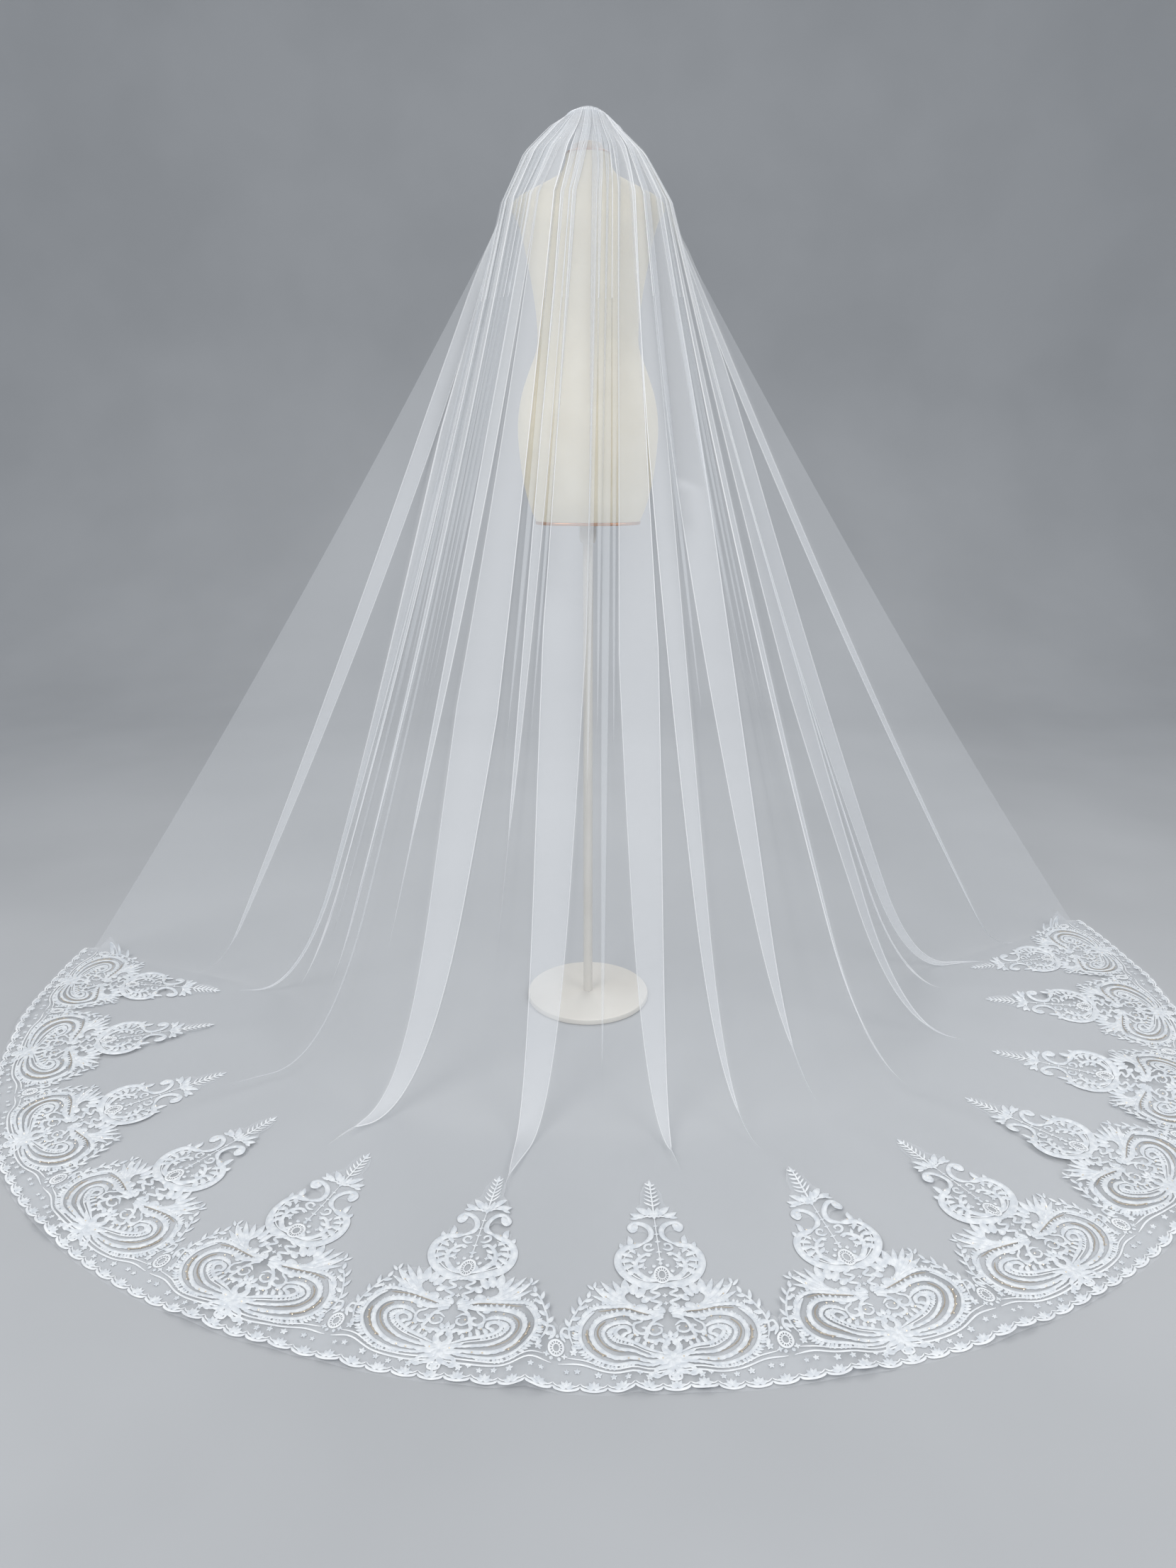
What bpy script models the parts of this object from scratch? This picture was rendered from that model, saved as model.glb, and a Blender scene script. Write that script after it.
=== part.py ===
"""Bridal veil draped over a limbless dress form on a stand, in metres with +Z up.

The form's axis is the Z axis and the floor is z = 0. The veil opens over the form's back, which looks along -Y,
and its train lies on the floor there. A bearing is a direction on the floor, in radians from -Y towards +X.

A place on the veil has a bearing and a stage: 0 to 1 runs down the gathered head through HEAD_RINGS, 1 to 2 falls
from the shoulders to the foot, where the tulle lies down, and 2 to 3 lies flat on the floor out to the hem.
"""

import math

import bpy
import numpy as np
from mathutils import Vector
from mathutils.geometry import delaunay_2d_cdt

# Cloth and seams
TULLE = 0.0012
LACE = 0.0012
SEAM = 0.00034

# Plan of the hem: its reach from the axis by bearing
HEM_FRONT = 1.31
HEM_SWELL = 0.27
HEM_LEAN = 0.04
HEM_TAIL = 0.35
TAIL_FROM = math.radians(75)
EDGE_LEFT = math.radians(-100.4)
EDGE_RIGHT = math.radians(106.8)

# Width of tulle that lies on the floor inside the hem, in the middle and at the raw side edges
LIE = 0.61
LIE_AT_EDGE = 0.03
LIE_RAMP = math.radians(9.5)
EDGE_STEP = math.radians(0.9)

# The fall: share of the lying width over which the tulle bends to the floor, and how far it sags inwards
BEND = 0.2
SAG = 0.03

# Columns: stage, height, reach to the left, reach to the right, reach to the back, share of even gathering
HEAD_RINGS = [
    (0.00, 2.182, 0.046, 0.044, 0.036, 1.00),
    (0.25, 2.164, 0.064, 0.056, 0.048, 1.00),
    (0.50, 2.138, 0.092, 0.076, 0.062, 0.95),
    (0.75, 2.096, 0.138, 0.122, 0.088, 0.80),
    (1.00, 2.000, 0.188, 0.183, 0.128, 0.55),
]

# Stages of the rows of points down the veil
ROWS = [0, 0.25, 0.5, 0.75, 1, 1.13, 1.32, 1.52, 1.72, 1.84, 1.92, 1.97, 2, 2.1, 2.5, 3]

# Knife pleats released from the gathers. Columns: name, bearing in degrees, widest overlap in metres,
# stage where it has opened out, side its free edge faces, height of the soft swell on its right
PLEATS = [
    ("long_left", -96.2, 0.040, 1.88, 1, 0.004),
    ("thin_left", -91.0, 0.022, 1.96, 1, 0.012),
    ("side_left", -80.5, 0.030, 1.60, -1, -0.010),
    ("soft_left", -67.0, 0.022, 1.66, -1, 0.014),
    ("low_left", -53.5, 0.026, 1.58, 1, -0.010),
    ("wide_left", -40.0, 0.112, 1.98, -1, 0.012),
    ("back_left", -25.5, 0.020, 1.55, 1, 0.010),
    ("middle", -12.0, 0.098, 1.98, 1, -0.012),
    ("wide_right", 14.5, 0.092, 1.96, -1, 0.004),
    ("narrow_right", 28.7, 0.044, 1.90, 1, -0.008),
    ("short_right", 42.8, 0.058, 1.78, -1, 0.014),
    ("soft_right", 59.5, 0.024, 1.84, 1, -0.006),
    ("side_right", 76.5, 0.064, 1.88, -1, 0.010),
    ("slim_right", 91.0, 0.026, 1.70, 1, -0.006),
    ("long_right", 99.4, 0.052, 1.96, -1, 0.004),
    ("edge_right", 103.6, 0.022, 1.92, 1, -0.004),
]
PLEAT_DEPTH = 0.0052
PLEAT_NOSE = 0.002
LAP_SHARE = 0.86
LEAST_ROOM = 0.034

# Kinds of column at a pleat's two folds
FOLDS = ("a_in", "a_out", "b_in", "b_out")

# Height of the gather between two pleats, in pleat depths, by the sides that the two face
GATHER_LEVEL = {(1, 1): 1, (-1, -1): 1, (1, -1): 0, (-1, 1): 2}

# Where the one width of tulle is parted into stretches, after these pleats
STRETCHES = [
    ("tulle_left_edge", "side_left"),
    ("tulle_left", "wide_left"),
    ("tulle_middle", "narrow_right"),
    ("tulle_right", "soft_right"),
    ("tulle_right_edge", "edge_right"),
]

# Lace border: repeats along the hem, the scallops of each, and how far its edge stays inside the tulle's
REPEATS = 13
SCALLOPS = 9
SCALLOP_DEPTH = 0.008
LACE_INSET = 0.006
BEND_INTO_MOTIF = 0.26

# Half outline of a repeat above the hem. Columns: point, across from its middle and in from the hem, in metres
MOTIF_OUTLINE = [
    ("valley", 0.2050, 0.126),
    ("curl", 0.1780, 0.168),
    ("twig", 0.1620, 0.205),
    ("spray_tip", 0.1290, 0.232),
    ("spray_top", 0.0800, 0.240),
    ("spray_end", 0.0450, 0.230),
    ("cage_low", 0.0700, 0.250),
    ("cage_side", 0.0860, 0.278),
    ("cage_high", 0.0790, 0.318),
    ("horn_tip", 0.0600, 0.352),
    ("horn_foot", 0.0400, 0.338),
    ("neck", 0.0140, 0.352),
    ("volute_foot", 0.0220, 0.368),
    ("volute_side", 0.0520, 0.384),
    ("volute_top", 0.0420, 0.408),
    ("leaf", 0.0350, 0.428),
    ("sprig", 0.0200, 0.468),
    ("sprig_top", 0.0080, 0.502),
]

MOTIF_TOP = 0.510

# The same from the raw edge to the twig at the border's two ends, where the tulle starts to rise
END_OUTLINE = [("low", 0.1880, 0.036), ("rise", 0.1600, 0.100), ("twig", 0.1400, 0.155)]

# The two end repeats lean away from the raw edges by this share of the way in from the hem. The lean fades out
# from LEAN_PLATEAU towards the next repeat
LEAN = 0.22
LEAN_PLATEAU = 0.09

# Gaps between the cords, as pointed ovals. Columns: name, across, in from the hem, length, width, turn in degrees,
# and 1 for a pair on both sides or 0 for one in the middle
MOTIF_GAPS = [
    ("cage_outer", 0.0610, 0.284, 0.056, 0.017, 100, 1),
    ("cage_inner", 0.0280, 0.292, 0.040, 0.016, 105, 1),
    ("under_spray", 0.0760, 0.196, 0.038, 0.011, 35, 1),
    ("heart", 0.0440, 0.128, 0.046, 0.017, 20, 1),
    ("arm", 0.1210, 0.128, 0.050, 0.014, 100, 1),
    ("net_band", 0.0620, 0.033, 0.070, 0.013, 3, 1),
    ("stems", 0.0000, 0.186, 0.046, 0.013, 90, 0),
]
GAP_SIDES = 6

# Dress form. Columns: section, height, half width, reach to the back, reach to the front
TORSO = [
    ("bottom", 1.308, 0.1275, 0.088, 0.076),
    ("thigh", 1.331, 0.1375, 0.101, 0.084),
    ("seat_low", 1.388, 0.1538, 0.118, 0.092),
    ("seat", 1.464, 0.1649, 0.126, 0.098),
    ("hip", 1.530, 0.1677, 0.119, 0.102),
    ("high_hip", 1.600, 0.1566, 0.099, 0.101),
    ("under_waist", 1.647, 0.1400, 0.085, 0.095),
    ("waist", 1.700, 0.1200, 0.075, 0.088),
    ("ribs", 1.760, 0.1195, 0.078, 0.092),
    ("under_bust", 1.818, 0.1269, 0.086, 0.104),
    ("bust", 1.875, 0.1375, 0.094, 0.127),
    ("chest", 1.925, 0.1480, 0.098, 0.121),
    ("blades", 1.965, 0.1600, 0.096, 0.100),
    ("shoulder", 1.996, 0.1740, 0.080, 0.072),
    ("shoulder_top", 2.014, 0.1560, 0.068, 0.060),
    ("slope", 2.036, 0.1100, 0.060, 0.053),
    ("neck_foot", 2.056, 0.0680, 0.055, 0.050),
    ("neck", 2.076, 0.0530, 0.051, 0.047),
    ("neck_top", 2.096, 0.0500, 0.050, 0.046),
]
TORSO_SIDES = 28
SQUARENESS = 2.3
NECK_TRIM = 0.004
NECK_CAP = 0.020
CAP_REACH = 0.034
RIM = 0.007
RIM_PROUD = 0.0015

# Neck cap as turned wood. Columns: share of its height, share of its reach
CAP_PROFILE = [(0.0, 0.92), (0.35, 1.0), (0.75, 0.97), (1.0, 0.82)]

# Comb and the bound heading that the gathers are sewn to
COMB_WIDTH = 0.060
COMB_THICK = 0.0022
COMB_TEETH = 12
COMB_RAIL = 0.006
HEADING_HEIGHT = 0.024
HEADING_SHY = 0.0013
HEADING_FRONT = 0.010
HEADING_SIDES = 20

# Stand
POLE_RADIUS = 0.0125
COLLAR_RADIUS = 0.021
COLLAR_HEIGHT = 0.045
BASE_RADIUS = 0.17
BASE_HEIGHT = 0.016
ROUND_SIDES = 32


def clear_scene():
    for thing in list(bpy.data.objects):
        bpy.data.objects.remove(thing, do_unlink=True)


def finish(name, colour, roughness, metallic=0.0, alpha=1.0):
    """A Principled material with one colour (linear RGB), roughness, metallic value and alpha."""
    material = bpy.data.materials.new(name)
    material.use_nodes = True
    shader = material.node_tree.nodes["Principled BSDF"]
    shader.inputs["Base Color"].default_value = (*colour, 1)
    shader.inputs["Roughness"].default_value = roughness
    shader.inputs["Metallic"].default_value = metallic
    shader.inputs["Alpha"].default_value = alpha
    return material


def add_object(name, points, faces, material):
    mesh = bpy.data.meshes.new(name)
    mesh.from_pydata([tuple(map(float, p)) for p in points], [], faces)
    mesh.materials.append(material)
    mesh.shade_smooth()
    mesh.set_sharp_from_angle(angle=math.radians(40))
    thing = bpy.data.objects.new(name, mesh)
    bpy.context.collection.objects.link(thing)
    return thing


def hem_reach(bearing):
    """Plan radius of the hem: a swell with the squared sine, a lean to the right and a tail past TAIL_FROM."""
    tail = np.maximum(0, np.abs(bearing) - TAIL_FROM)
    return HEM_FRONT + HEM_SWELL * np.sin(bearing) ** 2 + HEM_LEAN * np.sin(bearing) + HEM_TAIL * tail**2


def lying_width(bearing):
    """Width of tulle on the floor: LIE, less within LIE_RAMP of each raw edge, where the tulle hangs taut."""
    ramp = np.clip(np.minimum(bearing - EDGE_LEFT, EDGE_RIGHT - bearing) / LIE_RAMP, 0, 1)
    return LIE_AT_EDGE + (LIE - LIE_AT_EDGE) * np.sin(ramp * math.pi / 2)


def head_point(angle, stage):
    """A point on the gathered head: half ellipses through HEAD_RINGS, read at an angle and a stage up to 1."""
    stages, heights, lefts, rights, backs, _ = np.array(HEAD_RINGS).T
    at = np.clip(stage, 0, 1)
    sideways = np.where(angle < 0, np.interp(at, stages, lefts), np.interp(at, stages, rights))
    back = np.interp(at, stages, backs)
    height = np.interp(at, stages, heights)
    return np.stack([sideways * np.sin(angle), -back * np.cos(angle), height], -1)


def smooth_cloth(bearing, gathered, stage):
    """The veil's middle surface without pleats. gathered is the bearing that even gathering would give a point.

    The fall is a straight line from the last ring to the foot in plan, with a parabola of sag; its height drops in
    proportion and ends in a parabola that meets the floor level.
    """
    stages, *_, evens = np.array(HEAD_RINGS).T
    even = np.interp(np.clip(stage, 0, 1), stages, evens)
    top = head_point(even * gathered + (1 - even) * bearing, stage)
    out = np.stack([np.sin(bearing), -np.cos(bearing)], -1)
    hem = hem_reach(bearing)
    lie = lying_width(bearing)
    foot = (hem - lie)[..., None] * out
    fall = np.clip(stage - 1, 0, 1)
    lying = np.clip(stage - 2, 0, 1)
    run = np.linalg.norm(foot - top[..., :2], axis=-1)
    touch = 1 - BEND * lie / run
    bend = 1 - touch
    drop = np.where(fall < touch - bend, 1 - fall / touch, (1 - fall) ** 2 / (4 * bend * touch))
    plan = top[..., :2] + (foot - top[..., :2]) * fall[..., None] + (lie * lying)[..., None] * out
    plan = plan - (SAG * 4 * fall * (1 - fall))[..., None] * out
    height = TULLE / 2 + (top[..., 2] - TULLE / 2) * drop
    return np.concatenate([plan, height[..., None]], -1)


def unit(vectors):
    return vectors / np.maximum(np.linalg.norm(vectors, axis=-1, keepdims=True), 1e-12)


def veil_columns():
    """Columns of points across the veil, left to right: bearing, the pleat that it belongs to, and its kind.

    Each pleat has the 4 columns of FOLDS, and 3 lie between neighbours: one to the right of a pleat, one on the soft
    swell and one to the left of the next pleat. The raw edges have an edge and a swell.
    """
    bearings = [math.radians(row[1]) for row in PLEATS]
    last = len(PLEATS) - 1
    columns = [(EDGE_LEFT, 0, "edge"), (EDGE_LEFT + EDGE_STEP, 0, "swell"), (bearings[0], 0, "left")]
    for index, bearing in enumerate(bearings):
        columns += [(bearing, index, fold) for fold in ("a_in", "a_out", "b_in", "b_out")]
        columns.append((bearing, index, "right"))
        if index < last:
            columns.append(((bearing + bearings[index + 1]) / 2, index, "swell"))
            columns.append((bearings[index + 1], index + 1, "left"))
    columns += [(EDGE_RIGHT - EDGE_STEP, last, "swell"), (EDGE_RIGHT, last, "edge")]
    return columns


def overlap(widest, opened, stage):
    """How far a pleat laps over itself: grows from the neck to just below the shoulders, then closes parabolically."""
    grow = np.clip((stage - 0.6) / 0.6, 0, 1)
    close = np.clip((stage - 1.2) / (opened - 1.2), 0, 1)
    return widest * grow * (1 - close**2)


def cloth_frame(bearing, gathered, stage):
    """The smooth surface's points and outward normals, and how far a radian of bearing carries a point sideways."""
    step = 1e-4
    here = smooth_cloth(bearing, gathered, stage)
    ahead = smooth_cloth(bearing + step, gathered + step, stage)
    behind = smooth_cloth(bearing - step, gathered - step, stage)
    along = (ahead - behind) / (2 * step)
    low = smooth_cloth(bearing, gathered, np.minimum(stage + step, 3))
    high = smooth_cloth(bearing, gathered, np.maximum(stage - step, 0))
    down = unit(low - high)
    normal = unit(np.cross(down, along))
    speed = np.abs((along * np.cross(normal, down)).sum(-1))
    return here, normal, speed


def pleat_layers(room, steady, widest, opened, rows):
    """Sideways places, levels and depth of one pleat's columns, row by row.

    A wide lap first narrows to an upright fold, then turns to a forward step and then lies flat, so that its middle
    layer turns over without touching itself. Above its first lap it is a forward step too, as a gather.
    """
    nose = np.minimum(PLEAT_NOSE, room / 8)
    lap = np.minimum(overlap(widest, opened, rows), LAP_SHARE * room - 5 * nose)
    lapping = (lap > 2 * nose) & (rows < opened) & (room > LEAST_ROOM) & (steady > 0.8)
    inside = rows[lapping]
    lapping = lapping & (rows > inside.min()) & (rows < inside.max())
    upright = (rows == inside.min()) | (rows == inside.max())
    after = rows[rows > inside.max()]
    lap = np.where(lapping, lap, 0)
    spread = np.where(lapping, nose, 0.75 * nose)
    places = {
        "left": -lap / 2 - 2.6 * spread, "a_in": lap / 2 + spread, "a_out": lap / 2,
        "b_in": -lap / 2, "b_out": -lap / 2 - spread, "right": lap / 2 + 2.6 * spread,
    }
    wide = np.where(steady > 0.8, 1, 1.5)
    stepped = {"left": -2.6, "a_in": -1.1 * wide, "a_out": -0.5 * wide, "b_in": 0.5 * wide, "b_out": 1.1 * wide,
               "right": 2.6}
    stood = {"left": -3, "a_in": 0.7, "a_out": 0.3, "b_in": -0.3, "b_out": -0.7, "right": 3}
    for kind in places:
        places[kind] = np.where(lapping, places[kind], np.where(upright, stood[kind] * nose, stepped[kind] * nose))
    depth = np.minimum(PLEAT_DEPTH, room / 8) * steady
    depth = depth * np.where(rows > inside.max(), 0.7 * (rows == after.min()), 1)
    return places, depth


def pleated_cloth():
    """Middle surface of the whole veil as an array of columns by rows, with its pleats and gathers laid in.

    A point keeps to the smooth surface, moved sideways round it, and then stands proud of it along its normal. The
    three layers of a pleat lie at about 0, 1 and 2 times its depth.
    """
    columns = veil_columns()
    rows = np.array(ROWS, float)
    count = len(columns)
    last = len(PLEATS) - 1
    even = EDGE_LEFT + (EDGE_RIGHT - EDGE_LEFT) * np.arange(count) / (count - 1)
    groups = [[c for c, col in enumerate(columns) if col[1] == k and col[2] in FOLDS] for k in range(len(PLEATS))]
    centre = np.array([even[group].mean() for group in groups])
    bearing = np.array([col[0] for col in columns])
    gathered = np.array([even[c] if col[2] in ("edge", "swell") else centre[col[1]]
                         for c, col in enumerate(columns)])
    last_rows = [0] + list(range(len(rows) - 1))
    next_rows = list(range(1, len(rows))) + [-1]
    grid_b, grid_s = np.meshgrid(bearing, rows, indexing="ij")
    grid_g = np.repeat(gathered[:, None], len(rows), 1)
    here, normal, speed = cloth_frame(grid_b, grid_g, grid_s)
    bend = np.minimum((normal * normal[:, next_rows]).sum(-1), (normal * normal[:, last_rows]).sum(-1))
    steady = np.clip((bend - 0.3) / 0.5, 0.35, 1)
    shift = np.zeros((count, len(rows)))
    proud = np.zeros((count, len(rows)))
    depths = []
    for k, (_, _, widest, opened, faces, _) in enumerate(PLEATS):
        start = groups[k][0]
        turn_before = 2 * (bearing[start] - bearing[0]) if k == 0 else bearing[start] - bearing[groups[k - 1][0]]
        turn_after = 2 * (bearing[-1] - bearing[start]) if k == last else bearing[groups[k + 1][0]] - bearing[start]
        stages, *_, evens = np.array(HEAD_RINGS).T
        share = np.interp(np.clip(rows, 0, 1), stages, evens)
        even_turn = (even[-1] - even[0]) / len(PLEATS)
        turn = np.minimum(turn_before, turn_after)
        fan = np.where(rows > 1, np.clip(rows - 1, 0, 1), 0)
        turn = turn * (1 - share * (1 - fan)) + even_turn * share * (1 - fan)
        room = turn * speed[start]
        places, depth = pleat_layers(room, steady[start], widest, opened, rows)
        level = {"left": 0, "a_in": 0, "a_out": 0.45, "b_in": 1.55, "b_out": 2, "right": 2}
        depths.append((depth, faces))
        for c, (_, owner, kind) in enumerate(columns):
            if owner == k and kind in places:
                shift[c] = places[kind] / speed[c]
                proud[c] = (level[kind] if faces > 0 else 2 - level[kind]) * depth
    tight = np.interp(rows, [0, 0.75, 1.32], [1, 0.8, 0.3])
    soft = np.interp(rows, [0, 0.75, 1.2, 1.6, 1.92, 1.97], [0, 0.1, 0.6, 1, 0.3, 0])
    for c, (_, owner, kind) in enumerate(columns):
        if kind == "swell" and 0 < c - 1 and c < count - 2:
            depth, faces = depths[owner]
            next_depth, next_faces = depths[owner + 1]
            proud[c] = GATHER_LEVEL[faces, next_faces] * tight * (depth + next_depth) / 2 + PLEATS[owner][5] * soft
    here, normal, _ = cloth_frame(grid_b + shift, grid_g + shift, grid_s)
    normal = unit(normal[:, last_rows] + 2 * normal + normal[:, next_rows])
    return here + normal * proud[..., None]


def vertex_normals(points):
    """Normals of a grid of points, averaged from its corners, and longer at a sharp fold to keep the wall's width."""
    across = points[1:] - points[:-1]
    down = points[:, 1:] - points[:, :-1]
    total = np.zeros_like(points)
    for side in (across[[0] + list(range(len(across)))], across[list(range(len(across))) + [-1]]):
        for fall in (down[:, [0] + list(range(down.shape[1]))], down[:, list(range(down.shape[1])) + [-1]]):
            total += unit(np.cross(fall, side))
    mean = total / 4
    length = np.maximum(np.linalg.norm(mean, axis=-1, keepdims=True), 0.7)
    return unit(mean) / length


def add_wall(name, outer, inner, material):
    """A closed wall between two grids of points, outer and inner, joined round their edges.

    Both sides of a cell are parted along the same diagonal, the one further out, so that a twisted cell keeps its
    width and stays clear of what is under it.
    """
    across, down = outer.shape[:2]
    points = np.concatenate([outer.reshape(-1, 3), inner.reshape(-1, 3)])
    back = across * down
    outward = points[:back] - points[back:]

    def at(i, j):
        return i * down + j

    faces = []
    for i in range(across - 1):
        for j in range(down - 1):
            a, b, c, d = at(i, j), at(i, j + 1), at(i + 1, j + 1), at(i + 1, j)
            apart = points[a] + points[c] - points[b] - points[d]
            if apart @ (outward[a] + outward[b] + outward[c] + outward[d]) > 0:
                halves = ((a, b, c), (a, c, d))
            else:
                halves = ((a, b, d), (b, c, d))
            for half in halves:
                faces.append(half)
                faces.append(tuple(back + v for v in reversed(half)))
    ring = [at(i, 0) for i in range(across)] + [at(across - 1, j) for j in range(1, down)]
    ring += [at(i, down - 1) for i in range(across - 2, -1, -1)] + [at(0, j) for j in range(down - 2, 0, -1)]
    for first, second in zip(ring, ring[1:] + ring[:1]):
        faces.append((first, second, back + second, back + first))
    return add_object(name, points, faces, material)


def beside_seam(wall, column, side):
    """A column of a wall moved off a seam to one side, so that the two sides of the seam lie SEAM apart."""
    ahead = unit(wall[column + side] - wall[column])
    behind = unit(wall[column - side] - wall[column])
    spread = np.maximum(np.linalg.norm(ahead - behind, axis=-1, keepdims=True), 0.4)
    return wall[column] + ahead * SEAM / spread


def build_tulle(material):
    """The one width of tulle, parted into STRETCHES with a fine seam between them."""
    columns = veil_columns()
    middle = pleated_cloth()
    normal = vertex_normals(middle)
    outer = middle + normal * TULLE / 2
    inner = middle - normal * TULLE / 2
    names = [row[0] for row in PLEATS]
    first = 0
    for name, last_pleat in STRETCHES:
        owner = names.index(last_pleat)
        last = len(columns) - 1
        if owner < len(names) - 1:
            last = [c for c, col in enumerate(columns) if col[1] == owner and col[2] == "swell"][-1]
        outside = outer[first:last + 1].copy()
        inside = inner[first:last + 1].copy()
        for wall in (outside, inside):
            full = outer if wall is outside else inner
            if first > 0:
                wall[0] = beside_seam(full, first, 1)
            if last < len(columns) - 1:
                wall[-1] = beside_seam(full, last, -1)
        add_wall(name, outside, inside, material)
        first = last


def hem_track():
    """The hem's line inside the tulle's edge, by length: lengths, points and the directions in from the hem."""
    bearing = np.linspace(EDGE_LEFT, EDGE_RIGHT, 2401)
    reach = hem_reach(bearing) - LACE_INSET
    points = np.stack([reach * np.sin(bearing), -reach * np.cos(bearing)], -1)
    tangent = unit(np.gradient(points, axis=0))
    inward = np.stack([-tangent[:, 1], tangent[:, 0]], -1)
    lengths = np.concatenate([[0], np.cumsum(np.linalg.norm(np.diff(points, axis=0), axis=1))])
    return lengths, points, inward


def onto_floor(across, inwards, middle, track, width):
    """Lays a motif's points on the floor round the place at length middle along the hem.

    Near the hem and at its sides a motif follows the hem's own curve. Further in it keeps to its straight frame.
    """
    lengths, points, inward = track

    def read(values, at):
        return np.stack([np.interp(at, lengths, values[:, 0]), np.interp(at, lengths, values[:, 1])], -1)

    at = middle + across
    curved = read(points, at) + read(inward, at) * inwards[:, None]
    normal = unit(read(inward, np.array([middle])))[0]
    side = np.array([normal[1], -normal[0]])
    straight = read(points, np.array([middle]))[0] + side * across[:, None] + normal * inwards[:, None]
    share = np.clip(inwards / BEND_INTO_MOTIF, 0, 1)
    share = share * share * (3 - 2 * share) * (1 - np.clip(2 * np.abs(across) / width, 0, 1) ** 3)
    return curved * (1 - share[:, None]) + straight * share[:, None]


def lean_inwards(across, inwards, width, end):
    """Shears an end repeat away from its raw edge. end is -1 for the first repeat, 1 for the last, 0 for the rest."""
    share = np.clip((width / 2 + end * across) / (width / 2 - LEAN_PLATEAU), 0, 1)
    return across - end * LEAN * inwards * share


def scallop_points(width):
    """The scalloped lower edge of a repeat, left to right: SCALLOPS shallow arcs, 2 points in each and the cusps."""
    pitch = width / SCALLOPS
    steps = []
    for k in range(SCALLOPS):
        left = -width / 2 + k * pitch
        steps += [(left, SCALLOP_DEPTH), (left + pitch * 0.28, 0.0), (left + pitch * 0.72, 0.0)]
    return steps + [(width / 2, SCALLOP_DEPTH)]


def gap_points(across, inwards, length, width, turn):
    """A pointed oval of GAP_SIDES points about a middle, with its length turned from the across direction."""
    angles = np.arange(GAP_SIDES) * 2 * math.pi / GAP_SIDES
    along = np.cos(angles) * length / 2
    aside = np.sin(angles) * width / 2
    turned = math.radians(turn)
    x = across + along * math.cos(turned) - aside * math.sin(turned)
    y = inwards + along * math.sin(turned) + aside * math.cos(turned)
    return list(zip(x, y))


def motif_loops(width, end):
    """Closed loops of a repeat in its own frame: the outline first, then the gaps.

    end is -1 for the first repeat, 1 for the last and 0 for the rest. At a raw edge the border is cut on the slant.
    """
    upper = []
    for side in (1, -1):
        half = [(width / 2, MOTIF_OUTLINE[0][2])] + [row[1:] for row in MOTIF_OUTLINE[1:]]
        if side == end:
            half = [row[1:] for row in END_OUTLINE] + half[3:]
        upper.append([(side * across, inwards) for across, inwards in half])
    loops = [scallop_points(width) + upper[0] + [(0.0, MOTIF_TOP)] + upper[1][::-1]]
    for _, across, inwards, length, gap_width, turn, paired in MOTIF_GAPS:
        loops.append(gap_points(across, inwards, length, gap_width, turn))
        if paired:
            loops.append([(-x, y) for x, y in reversed(gap_points(across, inwards, length, gap_width, turn))])
    return loops


def fill_loops(loops):
    """Points and triangles between an outline and its gaps, which are convex, turned so that they face up."""
    points = [Vector(p) for loop in loops for p in loop]
    owner = [index for index, loop in enumerate(loops) for _ in loop]
    edges = []
    start = 0
    for loop in loops:
        edges += [(start + k, start + (k + 1) % len(loop)) for k in range(len(loop))]
        start += len(loop)
    flat, _, cells, origins, _, _ = delaunay_2d_cdt(points, edges, [], 1, 1e-7)
    triangles = []
    for cell in cells:
        owners = {owner[origins[v][0]] for v in cell}
        if len(owners) == 1 and 0 not in owners:
            continue
        a, b, c = (flat[v] for v in cell)
        triangles.append(tuple(cell) if (b - a).cross(c - a) > 0 else tuple(reversed(cell)))
    return np.array([tuple(p) for p in flat]), triangles


def build_lace(material):
    """The lace border, one node for each repeat, lying on the tulle inside the hem."""
    track = hem_track()
    pitch = track[0][-1] / REPEATS
    width = pitch - 1.3 * SEAM
    low = TULLE + SEAM
    for index in range(REPEATS):
        end = -1 if index == 0 else 1 if index == REPEATS - 1 else 0
        laid = []
        for loop in motif_loops(width, end):
            across, inwards = np.array(loop).T
            across = lean_inwards(across, inwards, width, end)
            plan = onto_floor(across, inwards, (index + 0.5) * pitch, track, width)
            laid.append([tuple(point) for point in plan])
        flat, triangles = fill_loops(laid)
        count = len(flat)
        top = np.column_stack([flat, np.full(count, low + LACE)])
        bottom = np.column_stack([flat, np.full(count, low)])
        add_plate(f"lace_repeat_{index + 1:02d}", top, bottom, triangles, material)


def add_plate(name, face, back, triangles, material):
    """A closed plate between a triangulated face and its back, walled along every free edge."""
    count = len(face)
    directed = {(t[k], t[(k + 1) % 3]) for t in triangles for k in range(3)}
    faces = list(triangles) + [tuple(count + v for v in reversed(t)) for t in triangles]
    faces += [(b, a, count + a, count + b) for a, b in sorted(directed) if (b, a) not in directed]
    return add_object(name, np.concatenate([face, back]), faces, material)


def torso_ring(half_width, back, front, grow=0.0):
    """Points round a section: half superellipses, deeper at the back or the front, from the back towards +X."""
    angle = np.arange(TORSO_SIDES) * 2 * math.pi / TORSO_SIDES
    power = 2 / SQUARENESS
    x = (half_width + grow) * np.sign(np.sin(angle)) * np.abs(np.sin(angle)) ** power
    depth = np.where(np.cos(angle) > 0, back, front) + grow
    y = -depth * np.sign(np.cos(angle)) * np.abs(np.cos(angle)) ** power
    return x, y


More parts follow.
